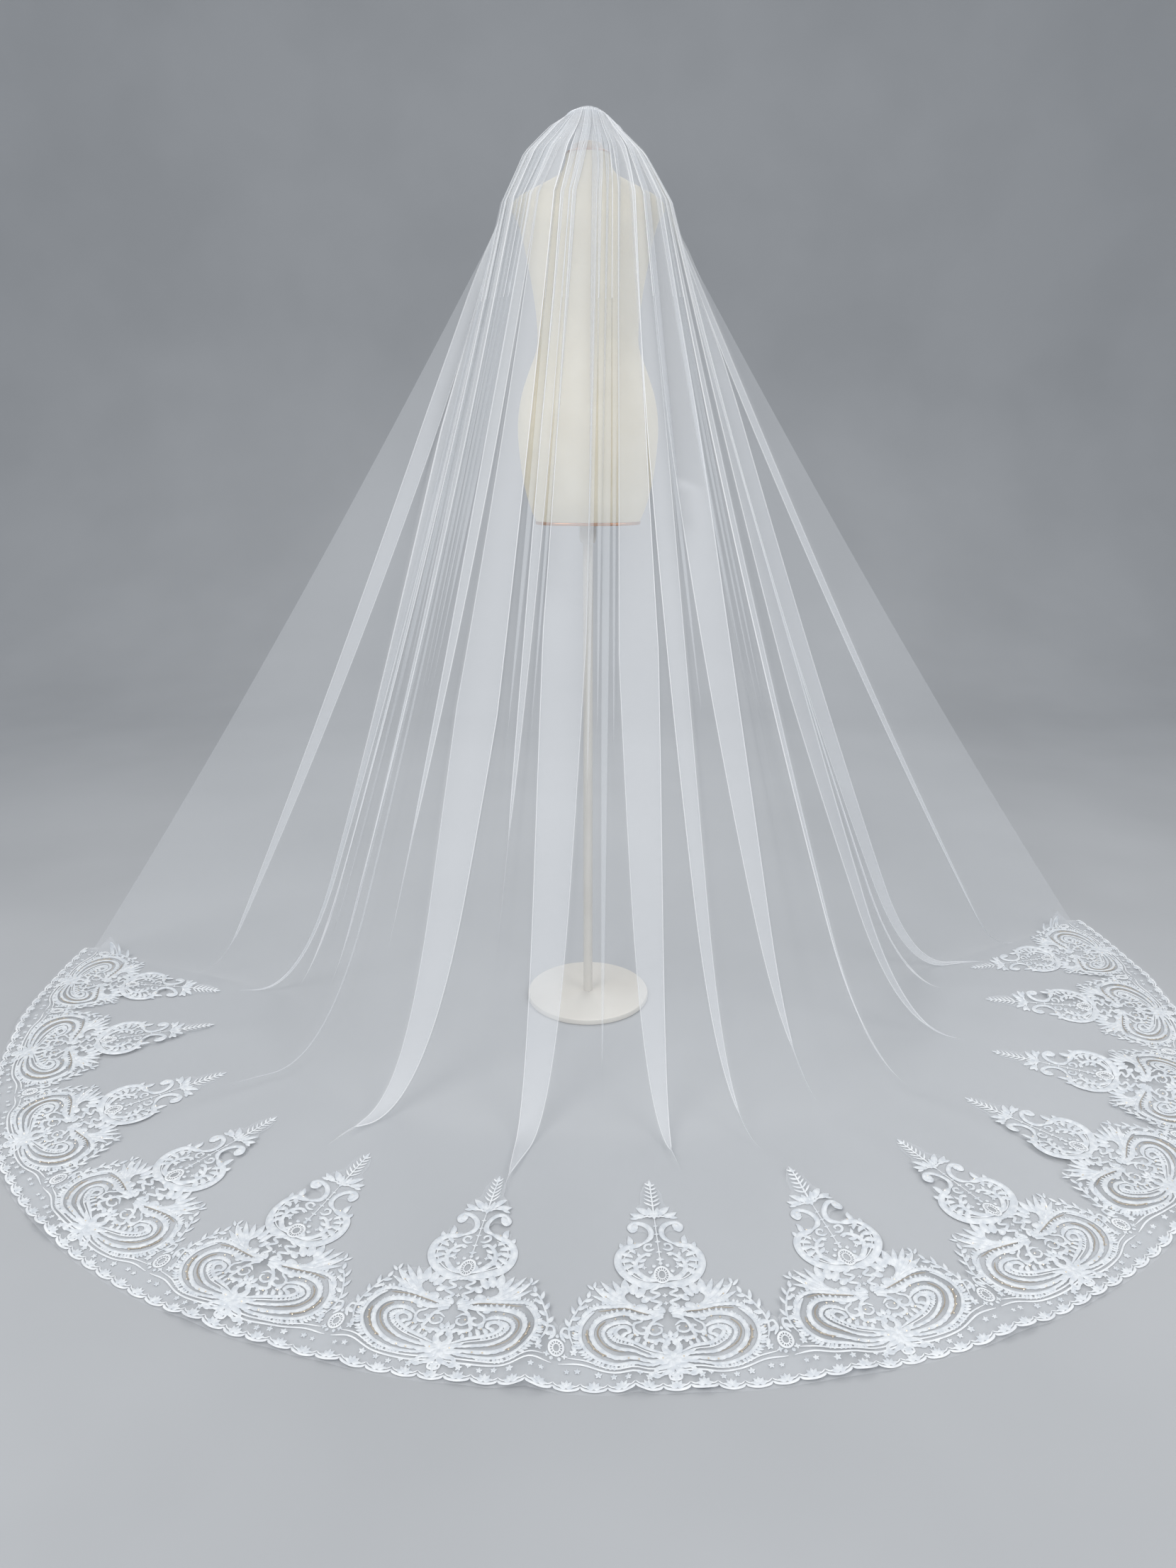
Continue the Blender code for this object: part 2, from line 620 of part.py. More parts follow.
def add_stack(name, rings, material):
    """A closed solid through rings of equal counts, given from low to high as arrays of points."""
    sides = len(rings[0])
    points = np.concatenate(rings)
    faces = [tuple(reversed(range(sides)))]
    for level in range(len(rings) - 1):
        for k in range(sides):
            after = (k + 1) % sides
            low = level * sides
            high = low + sides
            faces.append((low + k, low + after, high + after, high + k))
    top = (len(rings) - 1) * sides
    faces.append(tuple(range(top, top + sides)))
    return add_object(name, points, faces, material)


def ring_at(height, x, y):
    return np.column_stack([x, y, np.full(len(x), height)])


def circle(radius, sides=ROUND_SIDES):
    angle = np.arange(sides) * 2 * math.pi / sides
    return radius * np.sin(angle), -radius * np.cos(angle)


def build_form(cover, trim, wood):
    """The covered torso with its neck, the metal rim under it and the cap on the neck."""
    add_stack("form_torso", [ring_at(height, *torso_ring(half, back, front))
                             for _, height, half, back, front in TORSO], cover)
    _, bottom, half, back, front = TORSO[0]
    rim_top = bottom - SEAM
    add_stack("form_rim", [ring_at(rim_top - RIM, *torso_ring(half, back, front, RIM_PROUD)),
                           ring_at(rim_top, *torso_ring(half, back, front, RIM_PROUD))], trim)
    neck_top = TORSO[-1][1]
    low = neck_top + SEAM
    _, _, half, back, front = TORSO[-1]
    add_stack("neck_trim", [ring_at(low, *torso_ring(half, back, front, 0.001)),
                            ring_at(low + NECK_TRIM, *torso_ring(half, back, front, 0.001))], trim)
    low += NECK_TRIM + SEAM
    add_stack("neck_cap", [ring_at(low + share * NECK_CAP, *circle(CAP_REACH * reach))
                           for share, reach in CAP_PROFILE], wood)
    return low + NECK_CAP, rim_top - RIM


def build_comb(foot, material):
    """The comb under the heading: a rail with teeth that stand on the neck cap."""
    top = HEAD_RINGS[0][1] - HEADING_HEIGHT - SEAM
    low = foot + SEAM
    tooth = COMB_WIDTH / (2 * COMB_TEETH - 1)
    outline = [(-COMB_WIDTH / 2, top), (-COMB_WIDTH / 2, low)]
    for k in range(COMB_TEETH):
        left = -COMB_WIDTH / 2 + 2 * k * tooth
        if k > 0:
            outline += [(left, top - COMB_RAIL), (left, low)]
        outline.append((left + tooth, low))
        if k < COMB_TEETH - 1:
            outline.append((left + tooth, top - COMB_RAIL))
    outline.append((COMB_WIDTH / 2, top))
    flat, triangles = fill_loops([outline])
    count = len(flat)
    front = np.column_stack([flat[:, 0], np.full(count, -COMB_THICK / 2), flat[:, 1]])
    back = np.column_stack([flat[:, 0], np.full(count, COMB_THICK / 2), flat[:, 1]])
    add_plate("comb", front, back, triangles, material)


def build_heading(material):
    """The bound heading inside the gathers: a plug through the first head rings, just inside the tulle."""
    stages, heights, lefts, rights, backs, _ = np.array(HEAD_RINGS).T
    angle = np.arange(HEADING_SIDES) * 2 * math.pi / HEADING_SIDES
    rings = []
    for height in (heights[0] - HEADING_HEIGHT, heights[1], heights[0]):
        stage = np.interp(-height, -heights, stages)
        side = np.where(np.sin(angle) < 0, np.interp(stage, stages, lefts), np.interp(stage, stages, rights))
        back = np.interp(stage, stages, backs)
        shy = TULLE / 2 + HEADING_SHY
        front = HEADING_FRONT
        depth = np.where(np.cos(angle) > 0, back - shy, front)
        rings.append(ring_at(height, (side - shy) * np.sin(angle), -depth * np.cos(angle)))
    add_stack("heading", rings, material)


def build_stand(under_form, metal):
    """The pole, its collar under the form and the round base."""
    add_stack("stand_base", [ring_at(0.0, *circle(BASE_RADIUS - 0.003)), ring_at(0.004, *circle(BASE_RADIUS)),
                             ring_at(BASE_HEIGHT - 0.005, *circle(BASE_RADIUS)),
                             ring_at(BASE_HEIGHT, *circle(BASE_RADIUS - 0.006))], metal)
    foot = BASE_HEIGHT + SEAM
    collar_top = under_form - SEAM
    collar_low = collar_top - COLLAR_HEIGHT
    add_stack("stand_pole", [ring_at(foot, *circle(POLE_RADIUS, 20)),
                             ring_at(collar_low - SEAM, *circle(POLE_RADIUS, 20))], metal)
    add_stack("stand_collar", [ring_at(collar_low, *circle(COLLAR_RADIUS * 0.8, 20)),
                               ring_at(collar_low + 0.01, *circle(COLLAR_RADIUS, 20)),
                               ring_at(collar_top, *circle(COLLAR_RADIUS, 20))], metal)


def main():
    clear_scene()
    tulle = finish("silk_tulle", (0.80, 0.82, 0.85), 0.55, alpha=0.45)
    lace = finish("corded_lace", (0.82, 0.83, 0.85), 0.6)
    satin = finish("satin_binding", (0.80, 0.81, 0.83), 0.4)
    jersey = finish("ivory_jersey", (0.76, 0.70, 0.57), 0.85)
    copper = finish("brushed_copper", (0.75, 0.48, 0.30), 0.35, 1.0)
    wood = finish("pale_wood", (0.60, 0.47, 0.33), 0.5)
    metal = finish("painted_steel", (0.75, 0.74, 0.72), 0.4, 0.0)
    comb_metal = finish("comb_wire", (0.8, 0.8, 0.8), 0.25, 1.0)
    build_tulle(tulle)
    build_lace(lace)
    cap_top, under_form = build_form(jersey, copper, wood)
    build_comb(cap_top, comb_metal)
    build_heading(satin)
    build_stand(under_form, metal)


main()
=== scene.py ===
"""Looks of the bridal veil on its dress form, in metres with +Z up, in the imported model's frame.

A bearing is a direction on the floor, in radians from -Y towards +X. A stage runs down the veil: 0 to 1 through
the gathered head, 1 to 2 down the fall and 2 to 3 over the floor to the hem. Lace is first drawn flat, in
millimetres: across is along the hem and inwards is in from the hem.
"""

import math

import bpy
import numpy as np
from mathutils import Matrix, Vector
from mathutils.geometry import delaunay_2d_cdt

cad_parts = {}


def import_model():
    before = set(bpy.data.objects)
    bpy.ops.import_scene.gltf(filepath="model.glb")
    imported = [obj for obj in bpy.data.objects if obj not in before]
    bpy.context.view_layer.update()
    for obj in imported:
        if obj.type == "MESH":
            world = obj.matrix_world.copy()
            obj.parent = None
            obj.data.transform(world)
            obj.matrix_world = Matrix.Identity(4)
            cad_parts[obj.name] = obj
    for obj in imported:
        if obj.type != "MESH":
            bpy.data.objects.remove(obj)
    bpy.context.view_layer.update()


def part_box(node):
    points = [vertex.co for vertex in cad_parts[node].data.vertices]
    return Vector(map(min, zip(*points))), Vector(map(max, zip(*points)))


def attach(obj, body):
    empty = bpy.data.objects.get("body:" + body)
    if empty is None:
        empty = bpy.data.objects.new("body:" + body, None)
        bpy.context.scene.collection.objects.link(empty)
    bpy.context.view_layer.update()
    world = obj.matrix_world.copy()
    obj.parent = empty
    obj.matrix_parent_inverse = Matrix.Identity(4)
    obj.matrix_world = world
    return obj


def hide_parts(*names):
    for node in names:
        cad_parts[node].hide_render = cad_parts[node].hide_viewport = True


# Hem: its reach in front, its swell to the sides, its lean to the right, and its tails past a bearing
HEM_FRONT = 1.31
HEM_SWELL = 0.27
HEM_LEAN = 0.04
HEM_TAIL = 0.35
TAIL_FROM = math.radians(75)

# Raw edges of the veil's opening
EDGE_LEFT = math.radians(-100.4)
EDGE_RIGHT = math.radians(106.8)

# Width of tulle on the floor, the little that is left at a raw edge, and the bearings over which it narrows
LIE = 0.61
LIE_AT_EDGE = 0.03
LIE_RAMP = math.radians(9.5)

# The fall: how softly it meets the floor, how far it sags inwards, and its gap to the floor
BEND = 0.2
SAG = 0.03
FLOOR_GAP = 0.0006

# Columns: stage, height, reach to the left, reach to the right, reach to the back, share of even gathering
HEAD_RINGS = [
    (0.00, 2.182, 0.046, 0.044, 0.036, 1.00),
    (0.25, 2.164, 0.064, 0.056, 0.048, 1.00),
    (0.50, 2.138, 0.092, 0.076, 0.062, 0.95),
    (0.75, 2.096, 0.138, 0.122, 0.088, 0.80),
    (1.00, 2.000, 0.188, 0.183, 0.128, 0.55),
]

# Main pleats. Columns: name, bearing in degrees, widest overlap, stage where it opens out, side its edge
# faces, height of the soft swell on its right
PLEATS = [
    ("long_left", -96.2, 0.040, 1.88, 1, 0.004),
    ("thin_left", -91.0, 0.034, 1.96, 1, 0.012),
    ("side_left", -80.5, 0.046, 1.72, -1, -0.010),
    ("soft_left", -67.0, 0.022, 1.66, -1, 0.014),
    ("low_left", -53.5, 0.026, 1.58, 1, -0.010),
    ("wide_left", -40.0, 0.112, 2.06, -1, 0.012),
    ("back_left", -25.5, 0.020, 1.55, 1, 0.010),
    ("middle", -12.0, 0.098, 2.16, 1, -0.012),
    ("wide_right", 14.5, 0.092, 2.00, -1, 0.004),
    ("narrow_right", 28.7, 0.044, 1.90, 1, -0.008),
    ("short_right", 42.8, 0.076, 1.80, -1, 0.014),
    ("soft_right", 59.5, 0.024, 1.84, 1, -0.006),
    ("side_right", 76.5, 0.145, 1.92, -1, 0.010),
    ("slim_right", 91.0, 0.064, 1.86, 1, -0.006),
    ("long_right", 99.4, 0.052, 2.10, -1, 0.004),
    ("edge_right", 103.6, 0.022, 1.92, 1, -0.004),
]
PLEAT_DEPTH = 0.0030
GATHER_DEPTH = 0.0018

# Stages where a pleat's overlap starts and is full, and the stretch over which it flattens once it is open
LAP_STARTS = 0.6
LAP_FULL = 1.2
FLATTENS = 0.12

# Widest overlap as a share of the room to the next pleat, or to the next main pleat for a main one
MAIN_SHARE = 1.2
GATHER_SHARE = 0.9

# Fine gathers: degrees between them, the share that runs far down, and the stages where they open out
GATHER_DEGREES = 2.0
LONG_GATHERS = 0.22
GATHER_OPENS = (1.26, 1.5)
LONG_GATHER_OPENS = (1.6, 2.5)

# Metres for a radian of bearing at the hips, which keeps fine gathers clear of the main pleats there
SIDEWAYS_AT_HIPS = 0.34

# How much lower the crown's sides are than its middle, and how far the gathers puff out of the head
DOME = 0.014
DOME_STAGE = 0.4
PUFF = 0.0045

# Above this height the edges of fine gathers look dense too
FINE_EDGE_FROM = 1.80

# Marks of the tulle's columns: plain cloth, a fine gather's edge, a main pleat's edge, and inside its laps
PLAIN, GATHER_EDGE, MAIN_EDGE, MAIN_LAP = range(4)

# Ridges that run on over the floor. Columns: bearing where it starts, bearing at the hem, half width, all in
# degrees, and height in metres
RIDGES = [
    (-93, -88, 1.4, 0.010), (-78, -74, 2.0, 0.009), (-60, -57, 1.3, 0.008), (-41, -24, 1.3, 0.013),
    (-47, -49, 1.8, 0.008), (-12, -9, 1.0, 0.009), (-3, -5, 1.2, 0.006), (9, 6, 0.9, 0.006),
    (15, 17, 1.1, 0.011), (29, 31, 0.9, 0.009), (43, 40, 1.3, 0.008), (57, 52, 1.3, 0.011),
    (68, 62, 1.7, 0.009), (80, 71, 1.4, 0.014), (92, 85, 1.5, 0.012),
]

# Bumps where the hem doesn't lie flat. Columns: bearing, half width in degrees, height in metres
HEM_BUMPS = [
    (-84, 2.6, 0.010), (-66, 2.2, 0.009), (-49, 1.6, 0.008), (-31, 2.2, 0.010), (-19, 1.4, 0.007),
    (-4.5, 1.3, 0.012), (3.5, 1.0, 0.010), (8.5, 1.2, 0.008), (20, 1.5, 0.011), (33, 1.8, 0.009),
    (52, 1.8, 0.009), (74, 2.4, 0.010), (93, 2.4, 0.008),
]

# Lace border: like repeats along the hem, scallops on each, and its distance in from the tulle's edge
REPEATS = 13
SCALLOPS = 9
LACE_INSET = 0.006

# A motif follows the hem's curve at its foot and runs straight past this distance in
BEND_INTO_MOTIF = 0.26

# The two end repeats lean away from their raw edges, by this slope up to this distance from their inner side
LEAN = 0.22
LEAN_PLATEAU = 0.09

# Points along the hem's line, and columns of the table that measures distances along the cloth
HEM_POINTS = 2401
VEIL_COLUMNS = 400

# Threads of the lace, in the order of its materials
# The grey-brown thread among them is painted shade in the gaps between the white bands
LACE_THREADS = ("satin", "cord", "painted_shade")

# Heights of the lace and of its net ground above the tulle
LACE_LIFT = 0.0014
GROUND_LIFT = 0.0008

# Half outline of a repeat's net ground, in millimetres. Columns: across, in from the hem
GROUND_OUTLINE = [
    (205, 128), (188, 146), (180, 166), (165, 178), (152, 196), (128, 226), (104, 232), (78, 236), (52, 228),
    (66, 246), (84, 272), (84, 306), (66, 326), (62, 346), (48, 336), (28, 336), (15, 350), (24, 362),
    (48, 362), (56, 378), (46, 394), (42, 412), (36, 430), (24, 440), (22, 472), (10, 500),
]

# Cords of half a repeat, in millimetres. Columns: name, width at its start, width at its end, bumps along its
# outer edge, thread, points (across, in from the hem)
CORDS = [
    ("rim", 5, 8, 34, "satin",
     [(6, 60), (40, 50), (92, 51), (136, 68), (160, 97), (162, 128), (150, 152), (134, 167)]),
    # Painted shade: a grey-brown cord in the gap between the rim and the first band
    ("rim_shade", 2.4, 4, 0, "painted_shade", [(100, 65), (130, 79), (148, 104), (150, 126)]),
    ("band_one", 7, 11, 30, "satin",
     [(8, 63), (44, 58), (92, 64), (126, 84), (141, 112), (135, 138), (115, 154), (86, 158), (60, 151),
      (36, 150), (8, 157)]),
    # Painted shade: a grey-brown cord in the gap between the first and second bands
    ("shade_one", 1.8, 2.8, 0, "painted_shade", [(84, 73), (116, 91), (130, 114), (127, 132), (114, 145)]),
    ("band_two", 5, 9, 26, "satin",
     [(10, 66), (42, 68), (82, 78), (110, 97), (120, 116), (114, 131), (98, 139), (80, 137), (66, 128)]),
    ("line_two", 2.4, 2.4, 0, "cord",
     [(12, 69), (42, 76), (78, 87), (102, 103), (110, 117), (104, 128), (92, 131)]),
    ("hook", 7, 9, 0, "satin",
     [(14, 72), (42, 83), (70, 93), (92, 107), (98, 120), (88, 128), (76, 124), (73, 115), (80, 110)]),
    ("hook_twin", 4, 8, 0, "satin",
     [(42, 150), (50, 141), (62, 134), (64, 122), (54, 114), (42, 118), (42, 127), (50, 128)]),
    ("inner_arm", 8, 5, 12, "satin",
     [(14, 102), (30, 99), (44, 104), (40, 116), (34, 132), (22, 144), (8, 147)]),
    ("paisley", 5, 4, 8, "satin",
     [(10, 128), (22, 136), (36, 132), (38, 120), (28, 112), (16, 116), (14, 124), (20, 127)]),
    ("swag", 9, 7, 18, "satin",
     [(4, 161), (32, 163), (64, 172), (98, 178), (130, 176), (154, 160), (160, 140)]),
    # Painted shade: a grey-brown cord in the gap between the first band and the swag
    ("swag_shade", 2, 2, 0, "painted_shade", [(34, 158), (66, 166), (98, 170), (126, 167)]),
    ("drape_low", 4, 3.4, 0, "cord", [(0, 40), (52, 33), (112, 38), (160, 52), (200, 50)]),
    ("drape_high", 3.4, 3, 0, "cord", [(0, 46), (54, 41), (110, 45), (152, 60), (186, 64)]),
    ("side_vine", 5, 4, 0, "satin", [(176, 92), (184, 116), (182, 140), (172, 162), (160, 182), (146, 198)]),
    ("side_curl", 7, 4, 0, "satin", [(190, 96), (199, 110), (196, 124), (186, 124), (184, 113)]),
    ("ribbon_stem", 7, 6, 0, "satin",
     [(3, 163), (22, 169), (9, 180), (26, 190), (10, 200), (24, 210), (5, 220)]),
    ("ribbon_loop", 6, 5, 0, "satin", [(16, 194), (34, 196), (42, 206), (34, 216), (16, 217)]),
    ("fan_band", 13, 8, 9, "satin", [(40, 170), (58, 172), (74, 184), (78, 200), (66, 212)]),
    ("fan_stem", 5, 4, 0, "cord", [(48, 170), (80, 180), (108, 196), (130, 220)]),
    ("cage_frame", 18, 12, 0, "satin",
     [(4, 222), (34, 226), (63, 244), (79, 272), (78, 301), (64, 320), (42, 326), (28, 330)]),
    ("cage_line", 2.4, 2.4, 0, "cord",
     [(8, 231), (32, 236), (54, 252), (68, 276), (66, 298), (55, 311), (40, 316)]),
    ("cage_branch", 12, 6, 0, "satin",
     [(8, 232), (28, 240), (44, 258), (47, 278), (38, 294), (25, 302), (14, 300)]),
    ("neck", 11, 10, 0, "satin",
     [(32, 328), (15, 340), (10, 354), (14, 370), (26, 383), (41, 386), (51, 376), (46, 365), (36, 369)]),
    ("neck_scroll", 6, 5, 0, "satin", [(8, 312), (19, 310), (27, 317), (23, 326), (14, 325), (14, 318)]),
    ("cluster_stem", 5, 3, 0, "cord", [(2, 398), (14, 402), (26, 402), (38, 408)]),
    ("base_scroll", 7, 5, 0, "satin", [(6, 50), (24, 44), (34, 36), (26, 29), (16, 33)]),
    ("pendant_ring", 4, 4, 0, "cord", [(0, 34), (9, 30), (9, 22), (0, 18)]),
]

# Cords on a repeat's middle line, in millimetres. Columns: width at its start, width at its end, points
MIDDLE_CORDS = [(4, 3, [(0, 396), (0, 450), (0, 505)]), (2.2, 2.2, [(0, 266), (0, 330), (0, 396)])]

# The openwork oval between two repeats stands this far in from a raw edge, in millimetres
JOINT_INSET = 24

# Leaflets of the fern at a motif's tip, in millimetres: where they start and stop in from the hem and how far
# apart they stand, length of the lowest, how much shorter one is for a millimetre further in, width, and
# degrees from the stem
FERN_FROM, FERN_TO, FERN_STEP = 428, 492, 12
FERN_LENGTH, FERN_TAPER, FERN_WIDTH, FERN_SLANT = 24, 0.16, 4.4, 48

# Leaves and petals of half a repeat, in millimetres. Columns: name, across, in from the hem, direction in
# degrees from across, length, width, bend in degrees, thread
LEAVES = [
    ("fan_petal", 52, 196, 128, 32, 16, 12, "satin"), ("fan_petal", 60, 202, 108, 34, 17, 8, "satin"),
    ("fan_petal", 70, 204, 88, 36, 17, 4, "satin"), ("fan_petal", 44, 186, 148, 22, 14, 8, "satin"),
    ("fan_lance", 76, 198, 66, 44, 12, 4, "satin"), ("fan_lance", 78, 190, 50, 62, 12, 4, "satin"),
    ("fan_lance", 80, 184, 38, 68, 11, -2, "satin"), ("fan_lance", 86, 178, 28, 58, 11, -6, "satin"),
    ("fan_bulb", 34, 169, 25, 22, 18, 0, "satin"),
    ("tip_sprig", 130, 222, 100, 16, 7, 20, "satin"), ("tip_sprig", 132, 218, 40, 18, 7, 0, "satin"),
    ("tip_sprig", 124, 214, 150, 14, 7, 0, "satin"), ("tip_sprig", 116, 204, 100, 14, 6, 10, "cord"),
    ("frame_spike", 62, 248, 128, 24, 12, 34, "satin"), ("frame_spike", 72, 264, 150, 26, 12, 34, "satin"),
    ("frame_spike", 76, 284, 172, 26, 12, 34, "satin"), ("frame_spike", 72, 304, 198, 25, 11, 34, "satin"),
    ("frame_spike", 58, 318, 222, 20, 9, 30, "satin"),
    ("branch_spike", 30, 242, 60, 18, 9, 30, "satin"), ("branch_spike", 42, 256, 36, 16, 8, 30, "satin"),
    ("branch_spike", 46, 270, 150, 20, 9, -30, "satin"), ("branch_spike", 42, 286, 170, 18, 9, -30, "satin"),
    ("branch_spike", 46, 280, 48, 15, 8, 30, "satin"), ("branch_spike", 22, 238, 120, 15, 8, -20, "satin"),
    ("branch_spike", 36, 296, 70, 14, 7, 20, "satin"), ("branch_spike", 26, 302, 215, 12, 7, 0, "satin"),
    ("horn", 56, 326, 95, 27, 12, -30, "satin"), ("horn", 68, 318, 70, 16, 10, 0, "satin"),
    ("volute", 46, 368, 115, 20, 17, 0, "satin"),
    ("cluster_leaf", 10, 404, 50, 36, 15, -14, "satin"), ("cluster_leaf", 18, 402, 22, 32, 14, 10, "satin"),
    ("cluster_leaf", 30, 402, 350, 18, 9, 0, "satin"), ("cluster_leaf", 6, 402, 82, 24, 11, 0, "satin"),
    ("vine_leaf", 182, 106, 30, 18, 9, 20, "satin"), ("vine_leaf", 184, 122, 150, 20, 10, 20, "satin"),
    ("vine_leaf", 184, 130, 60, 20, 9, 0, "satin"), ("vine_leaf", 180, 146, 160, 20, 10, 0, "satin"),
    ("vine_leaf", 174, 158, 70, 20, 9, 0, "satin"), ("vine_leaf", 168, 170, 155, 20, 9, 0, "satin"),
    ("vine_leaf", 162, 180, 85, 22, 9, 0, "satin"), ("vine_leaf", 154, 190, 165, 20, 9, 0, "satin"),
    ("vine_leaf", 146, 198, 110, 18, 9, 0, "satin"), ("vine_leaf", 176, 92, 250, 16, 9, 0, "satin"),
    ("heart_spike", 88, 104, 140, 17, 9, 30, "satin"), ("heart_spike", 76, 97, 128, 17, 9, 30, "satin"),
    ("heart_spike", 62, 91, 116, 17, 9, 30, "satin"), ("heart_spike", 48, 86, 104, 15, 8, 30, "satin"),
    ("heart_spike", 34, 81, 96, 13, 8, 30, "satin"), ("heart_drop", 58, 106, 60, 16, 9, 0, "satin"),
    ("heart_drop", 70, 148, 200, 14, 8, 0, "satin"), ("heart_drop", 26, 90, 70, 13, 8, 0, "satin"),
    ("base_petal", 4, 58, 24, 40, 12, -6, "satin"), ("base_petal", 4, 55, 4, 48, 11, 6, "satin"),
    ("base_petal", 3, 66, 52, 26, 11, 10, "satin"), ("base_petal", 3, 50, 345, 34, 11, 6, "satin"),
    ("pendant", 2, 44, 300, 20, 10, 0, "satin"), ("pendant", 0, 46, 325, 32, 10, 20, "satin"),
    ("curl_leaf", 24, 28, 10, 20, 8, 40, "satin"), ("curl_leaf", 30, 34, 340, 16, 7, 0, "satin"),
    ("joint_petal", 4, 157, 60, 20, 10, 0, "satin"), ("joint_petal", 6, 154, 12, 28, 10, 10, "satin"),
    ("joint_petal", 8, 151, 345, 22, 9, 10, "satin"),
    ("cage_foot", 4, 222, 200, 16, 9, 0, "satin"), ("cage_foot", 6, 222, 330, 22, 10, 0, "satin"),
]

# Small flowers of half a repeat, in millimetres. Columns: across, in from the hem, petals, reach
FLOWERS = [
    (44, 25, 5, 7), (80, 24, 5, 6), (104, 28, 5, 6), (130, 32, 5, 7), (166, 38, 5, 6), (184, 36, 5, 5),
    (98, 190, 6, 8), (112, 188, 5, 7), (31, 268, 4, 5), (150, 178, 5, 6), (60, 30, 4, 5), (174, 76, 5, 8),
    (190, 66, 4, 6), (110, 120, 5, 5),
]

# Flowers on a repeat's middle line, in millimetres. Columns: in from the hem, petals, reach
MIDDLE_FLOWERS = [
    (284, 4, 8), (303, 4, 6), (330, 4, 6), (350, 4, 5), (372, 4, 5), (404, 6, 13), (178, 4, 5), (196, 4, 5),
    (26, 6, 10),
]

# Rows of petals set side by side along a path, in half a repeat. Columns: name, count, length, width, direction
# from the path in degrees, path in millimetres
FEATHERS = [
    ("outer_fringe", 27, 15, 6.5, -70, [(70, 47), (108, 52), (142, 70), (163, 98), (165, 126), (156, 148)]),
    ("band_fringe", 18, 12, 5.5, 76, [(70, 84), (98, 96), (113, 114), (108, 128), (92, 134)]),
    ("swag_fringe", 15, 10, 6.5, 80, [(30, 166), (64, 175), (98, 181), (130, 178), (150, 164)]),
    ("ring_fringe", 9, 14, 7.5, 80, [(15, 78), (17, 88), (12, 99), (3, 103)]),
    ("top_fringe", 12, 9, 5.5, 84, [(20, 152), (56, 154), (86, 162), (112, 158), (132, 146)]),
]

# Crystals sewn on half a repeat, in millimetres. Columns: across, in from the hem
CRYSTALS = [(122, 70), (138, 84), (148, 98), (152, 114), (60, 56), (78, 58), (96, 147), (80, 150), (18, 62),
            (30, 122), (59, 172), (44, 330), (42, 378), (110, 200), (176, 116), (40, 95), (64, 106)]
CRYSTAL_SIDES = 6
CRYSTAL_RADIUS = 1.7
CRYSTAL_RIM = 1.6
CRYSTAL_TIP = 3.2

# Dress form. Columns: height, half width, reach to the back, reach to the front
TORSO = [
    (1.308, 0.1275, 0.088, 0.076), (1.331, 0.1375, 0.101, 0.084), (1.388, 0.1538, 0.118, 0.092),
    (1.464, 0.1649, 0.126, 0.098), (1.530, 0.1677, 0.119, 0.102), (1.600, 0.1566, 0.099, 0.101),
    (1.647, 0.1400, 0.085, 0.095), (1.700, 0.1200, 0.075, 0.088), (1.760, 0.1195, 0.078, 0.092),
    (1.818, 0.1269, 0.086, 0.104), (1.875, 0.1375, 0.094, 0.127), (1.925, 0.1480, 0.098, 0.121),
    (1.965, 0.1600, 0.096, 0.100), (1.996, 0.1740, 0.080, 0.072), (2.014, 0.1560, 0.068, 0.060),
    (2.036, 0.1100, 0.060, 0.053), (2.056, 0.0680, 0.055, 0.050), (2.076, 0.0530, 0.051, 0.047),
    (2.096, 0.0500, 0.050, 0.046),
]
SQUARENESS = 2.3

# Points round and up the torso's mesh, and round turned parts, whose ends close this near the axis
TORSO_SIDES = 120
TORSO_ROWS = 110
LATHE_SIDES = 96
ON_AXIS = 1e-5

# A metal band's rounded edge, and how far it reaches in under the cover
BAND_EDGE = 0.001
BAND_DEPTH = 0.03

# Metal bands round the form. Columns: name, node, foot, top, row of TORSO that it goes round, how far it
# stands out
BANDS = [
    ("form_hem_rim", "form_rim", 1.3007, 1.3077, 0, 0.0015),
    ("turned_neck_trim", "neck_trim", 2.0963, 2.1003, -1, 0.0010),
]

# Turned parts. Columns: name, node, finish, slot, profile of (radius, height) from its foot up
TURNED = [
    ("turned_base", "stand_base", "steel", "painted_steel",
     [(0.167, 0.0), (0.170, 0.003), (0.170, 0.011), (0.168, 0.0145), (0.163, 0.016), (0.02, 0.016)]),
    ("turned_pole", "stand_pole", "steel", "painted_steel", [(0.0125, 0.0163), (0.0125, 1.2549)]),
    ("turned_collar", "stand_collar", "steel", "painted_steel",
     [(0.0160, 1.2553), (0.0170, 1.2555), (0.0205, 1.264), (0.0210, 1.266), (0.0210, 1.3000)]),
    ("turned_neck_cap", "neck_cap", "wood", "pale_wood",
     [(0.0300, 2.1007), (0.0313, 2.1010), (0.0335, 2.1050), (0.0340, 2.1085), (0.0336, 2.1140),
      (0.0315, 2.1180), (0.0275, 2.1205)]),
]

# Comb: teeth, radius of the wire, and sides and rows of a tooth's mesh
TEETH = 12
WIRE_RADIUS = 0.0010
WIRE_SIDES = 8
TOOTH_ROWS = 6
RAIL_ROWS = 20

# Bound heading: points round it, rows up it, and upright creases
HEADING_SIDES = 160
HEADING_ROWS = 13
HEADING_CREASES = 40

# Camera: focal length in pixels of the photograph's frame, its long side, place and downward tilt
FOCAL = 1439.0
LONG_SIDE = 2212.0
CAMERA = (0.0, -2.59, 1.45)
TILT = math.radians(17.6)
SENSOR = 36

# Soft lights, all turned to one place on the form. Columns: name, place, size, power
LIGHTS = [
    ("key light", (-2.6, -3.4, 4.4), 2.6, 150), ("fill light", (3.2, -2.8, 3.4), 2.6, 80),
    ("back light", (0.4, 2.4, 4.6), 2.4, 70),
]
LIT_PLACE = (0, -0.3, 0.9)

# Backdrop: where the floor starts to curve up, and the curve's radius
BACKDROP_AT = 3.2
BACKDROP_BEND = 2.5


